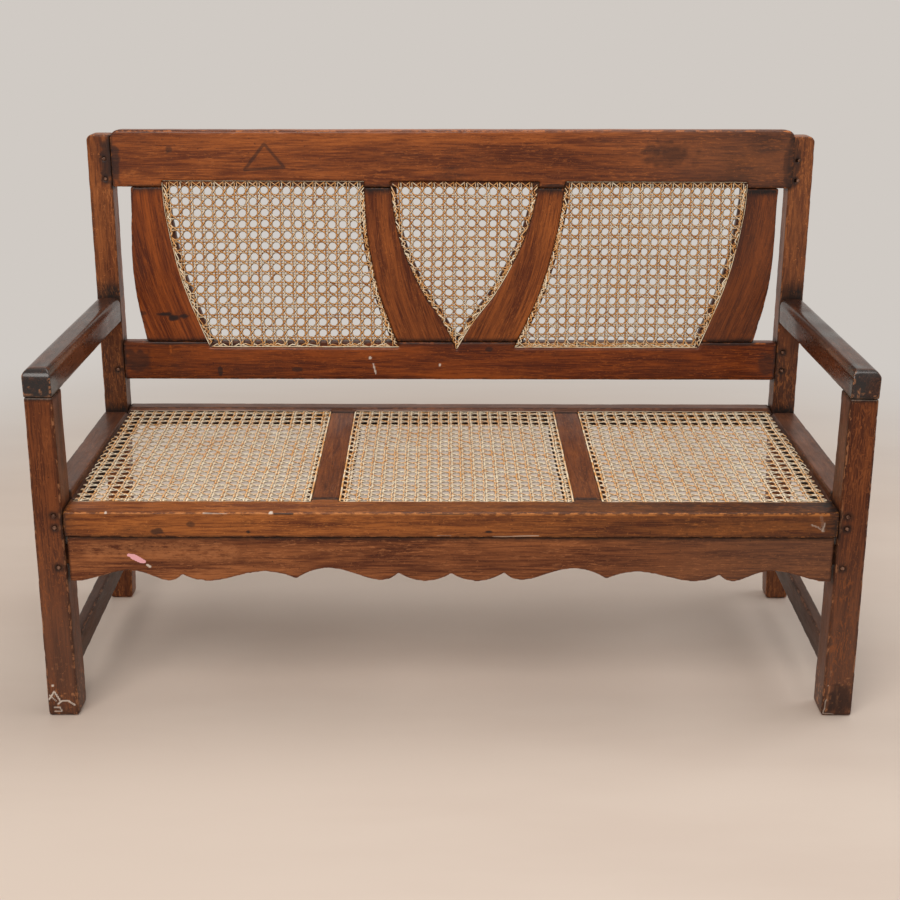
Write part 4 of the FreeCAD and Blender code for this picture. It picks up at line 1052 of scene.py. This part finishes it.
def strands_of(panel, holes):
    """Every strand as its family and its points in mm."""
    columns = len(panel.columns)
    rows = len(panel.rows)
    strands = []
    for family, across, along, height, shade in strand_jobs(columns, rows):
        inside = (across > 0) & (across < columns - 1) & (along > 0) & (along < rows - 1)
        if inside.sum() < 3:
            continue
        spots = panel.spot(across, along)
        deep = np.where(inside, panel.depth(spots), -1)
        good = deep > HOLE_DEPTH + 1.5
        edges = np.flatnonzero(np.diff(np.concatenate([[0], good.astype(int), [0]])))
        for first, last in zip(edges[::2], edges[1::2]):
            if last - first > 4:
                body = np.column_stack([spots[first:last], height[first:last]])
                strands.append((family, shade, tie_ends(body, holes, family)))
    return strands


PULL = {"up": 0.30, "across": 0.30, "slash": 0.55, "back": 0.55}


def tie_ends(body, holes, family):
    """Runs both ends of a strand on to the nearest holes and down into them."""
    for end in (0, -1):
        tip = body[end, :2]
        inner = body[min(3, len(body) - 1) if end == 0 else max(-4, -len(body)), :2]
        way = (tip - inner) / max(np.linalg.norm(tip - inner), 1e-6)
        reach = np.linalg.norm(holes - tip, axis=1) - 0.75 * ((holes - tip) @ way)
        hole = holes[np.argmin(reach)]
        ahead = tip + way * max((hole - tip) @ way, 0.5)
        hole = ahead + PULL[family] * (hole - ahead)
        lean = hole - tip
        lip = np.array([*(hole - lean / max(np.linalg.norm(lean), 1e-6) * 1.6), -0.2])
        sunk = np.array([*hole, SUNK])
        body = np.vstack([[sunk, lip], body]) if end == 0 else np.vstack([body, [lip, sunk]])
    return body


# Cross-section of a strand: across, out, and how dark its rim is, from its browner cut edges and a painted
# shade on one flank.
SECTION = np.array([(1.0, -0.2), (0.36, 0.80), (-0.52, 0.95), (-1.0, 0.1), (-0.6, -0.8), (0.6, -0.8)])
RIM_AND_SHADE = np.array([1.0, 0.0, 0.0, 0.8, 0.25, 0.30])


class Bundle:
    """Collects flat strands into one mesh."""

    def __init__(self, panel):
        self.panel = panel
        self.rows = []
        self.faces = []
        self.total = 0

    def add(self, local, width, thickness, tint, flank=0.25):
        run = unit(np.gradient(local, axis=0))
        sideways = unit(np.column_stack([run[:, 1], -run[:, 0], np.zeros(len(run))]))
        outward = np.cross(sideways, run)
        outward *= np.where(outward[:, 2] < 0, -1, 1)[:, None]
        half = SECTION * (width / 2, thickness / 2)
        ring = local[:, None] + sideways[:, None] * half[:, :1] + outward[:, None] * half[:, 1:]
        count, corners = ring.shape[:2]
        rim_and_shade = RIM_AND_SHADE.copy()
        rim_and_shade[1] = flank
        # Painted shade where a strand dips under others.
        painted_under_shade = 0.38 * smoothstep(-local[:, 2], 0.15, 0.50)
        rim_and_shade = np.maximum(np.tile(rim_and_shade, count), np.repeat(painted_under_shade, corners))
        length = np.repeat(run_lengths(local) * MM, corners)
        around = np.tile(np.arange(corners) / corners, count)
        size = count * corners
        self.rows.append(np.column_stack([self.panel.world(ring.reshape(-1, 3)), np.full(size, tint), rim_and_shade,
                                          length, around, np.full(size, self.total * 0.37)]))
        self.faces.extend(tube_faces(count, corners, self.total))
        self.total += size

    def build(self, name, material):
        rows = np.vstack(self.rows)
        mesh = smooth_mesh(name, rows[:, :3], self.faces)
        store(mesh, "tint", rows[:, 3])
        store(mesh, "rim_and_shade", rows[:, 4])
        store(mesh, "strand", rows[:, 5:])
        mesh.materials.append(material)
        return add_object(name, mesh)


CREAM = linear(253, 238, 208)
TAN = linear(234, 170, 96)
BROWN = linear(170, 98, 40)
EDGE_AND_SHADE_BROWN = linear(66, 36, 14)
NODE_BROWN = linear(96, 58, 30)


def cane_material(name):
    """Split cane: pale to tan, browner in patches and along its cut edges, with painted shade on one flank
    and under crossings, and painted glints.
    """
    material = bpy.data.materials.new(name)
    graph = Graph(material)
    span, mix = graph.span, graph.mix
    strand = graph.attribute("strand", "Vector")
    flow = graph.noise(strand, (26, 0.6, 1), 4.0, 0.62)
    thread = graph.noise(strand, (70, 26, 1), 2.0, 0.6)
    joint = graph.noise(strand, (130, 1.5, 1), 2.0)
    glint = graph.noise(strand, (62, 0.9, 3), 3.0, 0.6)
    area = graph.noise(graph.place(), (8, 8, 8), 3.0, 0.6)
    blend = graph.attribute("tint") + (flow - 0.5) * 2.5 + (area - 0.5) * 0.5
    colour = CREAM
    layers = (
        (span(blend, 0.05, 0.55), TAN),
        (span(blend, 0.55, 1.15), BROWN),
        (span(thread, 0.50, 0.68) * 0.42, BROWN),
        (span(joint, 0.60, 0.70) * 0.6, NODE_BROWN),
        (span(glint, 0.54, 0.64) * 0.8, CREAM),
        # Browner cut edges, with painted shade on one flank and under crossings.
        (span(graph.attribute("rim_and_shade"), 0.10, 0.62) * 0.88, EDGE_AND_SHADE_BROWN),
    )
    for share, tint in layers:
        colour = mix(share, colour, tint)
    bump = graph.add("ShaderNodeBump", Strength=0.3, Distance=0.0002, Height=thread)
    graph.finish(graph.add("ShaderNodeBsdfPrincipled", Base_Color=colour, Normal=bump,
                           Roughness=span(flow, 0.3, 0.7, 0.34, 0.52)))
    return material


def shifted(line, distance):
    """The line moved square to its run; positive moves toward +X for a line that goes up."""
    run = unit(np.gradient(line, axis=0))
    return line + distance * np.column_stack([run[:, 1], -run[:, 0]])


def level(columns, height, half):
    return np.array([(columns[0] - half, height), (columns[-1] + half, height)])


# Strips of the binder on a side: start share, end share, how far outside the holes,
# width in mm and tint.
TOP_STRIP = ((0, 1, 2.2, 1.5, -0.1),)
FOOT_STRIP = ((0, 1, 0.6, 2.4, 0.1),)
OUTER_STRIPS = ((0.0, 0.62, 1.6, 2.4, 0.30), (0.62, 1.0, 2.3, 1.3, 0.05))
VEE_STRIPS = ((0.0, 0.55, 1.6, 2.4, 0.25),)
CROSS_STRIPS = ((0, 1, 0.4, 4.6, 0.42),)
REAR_STRIPS = ((0, 1, 0.3, 2.6, 0.0),)
FRONT_STRIPS = ((0, 1, 0.8, 2.2, 0.45),)
# Steps of the lattice, across and up, spacings of the holes and first rows, in mm.
BACK_PITCHES = {"right": (21.8, 21.5), "left": (19.7, 19.6)}
VEE_PITCH = 21.1
VEE_ROWS = (17.5, 21.0)
VEE_SPACING = 16.0
SEAT_PITCH = 20.2
SEAT_ROWS = (20.5, 23.6)
SEAT_STEPS = 20
FIRST_SEAT_ROW = 10.2
WALL_SPACING = 21.9


def back_panels():
    made = []
    for word, (pitch, pitch_up) in BACK_PITCHES.items():
        outline = OUTLINES["back_cane_" + word]
        low, high = outline[:, 0].min(), outline[:, 0].max()
        columns = (low + high) / 2 + pitch * np.arange(-14, 15)
        columns = columns[(columns > low - 1.5 * pitch) & (columns < high + 1.5 * pitch)]
        rows = (OPEN_HIGH - FIRST_CROSS - pitch_up * np.arange(18))[::-1]
        top = level(columns, OPEN_HIGH - HOLE_DEPTH, pitch / 2)
        foot = level(columns, OPEN_LOW + HOLE_DEPTH, pitch / 2)
        foot = np.insert(foot, 1, foot.mean(axis=0), axis=0)
        into = HOLE_DEPTH if word == "right" else -HOLE_DEPTH
        sides = [(shifted(EDGES["outer", word], into), 0.8 * pitch, OUTER_STRIPS),
                 (shifted(EDGES["inner", word], -into), 0.8 * pitch, ()),
                 (top, pitch, TOP_STRIP), (foot, pitch, FOOT_STRIP)]
        made.append(Panel("back_cane_" + word, "wide", sides, columns, rows))
    rows = [OPEN_HIGH - FIRST_CROSS]
    while rows[-1] > VEE_LOW - 30:
        share = (rows[-1] - VEE_LOW) / (OPEN_HIGH - VEE_LOW)
        rows.append(rows[-1] - VEE_ROWS[0] - (VEE_ROWS[1] - VEE_ROWS[0]) * share)
    columns = np.arange(-140, 210, VEE_PITCH)
    sides = [(shifted(EDGES["vee", "left"], -HOLE_DEPTH), VEE_SPACING, VEE_STRIPS),
             (shifted(EDGES["vee", "right"], HOLE_DEPTH), VEE_SPACING, ()),
             (level(columns, OPEN_HIGH - HOLE_DEPTH, VEE_PITCH / 2), VEE_PITCH, ())]
    made.append(Panel("back_cane_centre", "vee", sides, columns, np.array(rows[::-1])))
    return made


def seat_panels():
    made = []
    for word, (low, high) in SEAT_OPENINGS.items():
        count = round((high - low - 2 * HOLE_DEPTH) / SEAT_PITCH)
        pitch = (high - low - 2 * HOLE_DEPTH) / count
        columns = low + HOLE_DEPTH + pitch * (np.arange(-1, count + 1) + 0.5)
        rows = [-FIRST_SEAT_ROW, FIRST_SEAT_ROW]
        for share in np.arange(SEAT_STEPS + 1) / SEAT_STEPS:
            rows.append(rows[-1] + SEAT_ROWS[0] + (SEAT_ROWS[1] - SEAT_ROWS[0]) * share)
        rows = np.array(rows)
        rows = HOLE_DEPTH + rows * (SEAT_RUN - 2 * HOLE_DEPTH) / ((rows[-2] + rows[-1]) / 2)
        sides = [(level(columns, HOLE_DEPTH, -pitch / 2), pitch, FRONT_STRIPS),
                 (level(columns, SEAT_RUN - HOLE_DEPTH, -pitch / 2), pitch, REAR_STRIPS)]
        for wall, outer in ((low + HOLE_DEPTH, word == "right"), (high - HOLE_DEPTH, word == "left")):
            line = np.array([(wall, HOLE_DEPTH), (wall, SEAT_RUN - HOLE_DEPTH)])
            sides.append((line, WALL_SPACING, () if outer else CROSS_STRIPS))
        made.append(Panel("seat_cane_" + word, "seat", sides, columns, rows))
    return made


# Width in mm and tint of each family of strands.
STYLES = {
    "wide": {"up": (2.9, 0.30), "across": (2.6, 0.44), "slash": (3.5, 0.60), "back": (2.9, 0.52)},
    "vee": {"up": (2.8, 0.36), "across": (2.6, 0.44), "slash": (3.1, 0.66), "back": (2.9, 0.62)},
    "seat": {"up": (3.4, 0.34), "across": (2.6, 0.12), "slash": (2.7, 0.33), "back": (2.5, 0.26)},
}
# Thickness in mm and darkness of the painted shade on the lower flank.
BODIES = {"wide": (1.2, 0.40), "vee": (1.2, 0.40), "seat": (1.6, 0.08)}


def make_cane():
    net = cane_material("cane_net")
    lacing = cane_material("cane_lacing")
    for panel in back_panels() + seat_panels():
        chance = np.random.default_rng(panel.seed)
        holes = holes_of(panel)
        bundle = Bundle(panel)
        thickness, flank = BODIES[panel.style]
        for family, shade, line in strands_of(panel, holes):
            width, tint = STYLES[panel.style][family]
            tint += shade + chance.uniform(-0.14, 0.14)
            bundle.add(line, width * chance.uniform(0.88, 1.12), thickness, tint, flank)
        finish_piece(bundle.build(panel.name + "_weave", net), panel.name)
        edge = Bundle(panel)
        bind_edges(edge, panel)
        lace_curves(edge, panel, chance)
        node = panel.name.replace("cane", "binder")
        finish_piece(edge.build(node + "_lacing", lacing), node)


def inward(panel, line, distance):
    """The line moved that far toward the middle of the panel."""
    moved = shifted(line, distance)
    middle = panel.outline.mean(axis=0)
    closer = np.linalg.norm(moved - middle, axis=1).mean() < np.linalg.norm(line - middle, axis=1).mean()
    return moved if closer == (distance > 0) else shifted(line, -distance)


# Heights of a lace over the cane, in mm, from one hole to the next.
LACE_HEIGHTS = np.array([SUNK, 0.1, 0.5, 0.7, 0.5, 0.1, SUNK])
LACE_OUT = 1.2
LACE_IN = 5.2


def lace_curves(bundle, panel, chance):
    """The tangle of short strand ends along the curved sides."""
    for line, spacing, strips in panel.sides:
        if len(line) < 3:
            continue
        length = run_lengths(line)[-1]
        count = int(length / spacing * 2)
        flat = points_at(line, (np.arange(count) + 0.5 + chance.uniform(-0.2, 0.2, count)) * length / count)
        outer = inward(panel, flat, -LACE_OUT)
        inner = inward(panel, flat, LACE_IN)
        for number in range(count - 3):
            if chance.random() < 0.2:
                continue
            reach = number + chance.integers(2, 4)
            apex = inner[(number + reach) // 2] + chance.uniform(-1.4, 1.4, 2)
            there, back = ([end, end + 0.25 * (apex - end), apex + 0.22 * (end - apex)]
                           for end in (outer[number], outer[reach]))
            curve = np.array([*there, apex, *back[::-1]])
            height = LACE_HEIGHTS + chance.uniform(-0.2, 0.3)
            if panel.depth(curve).min() > 0.6:
                body = np.column_stack([curve, height])
                bundle.add(body, chance.uniform(2.3, 3.3), 1.1, chance.uniform(-0.1, 0.75), 0.12)


def bind_edges(bundle, panel):
    """The strips of split cane that cover the holes."""
    for line, spacing, strips in panel.sides:
        length = run_lengths(line)[-1]
        for start, end, out, width, tint in strips:
            moved = inward(panel, points_at(line, np.arange(start * length, end * length, 5.0)), -out)
            moved = moved[panel.depth(moved) > 0.5 * width - 0.4]
            if len(moved) < 4:
                continue
            wave = flat_field(moved, 26, panel.seed + 9)
            bundle.add(np.column_stack([moved + 0.3 * wave[:, None], 0.95 + 0.2 * wave]), width, 0.8, tint)


place_camera()
light_scene()
make_floor()
TREES = node_trees()
make_pegs(make_timbers())
make_cane()
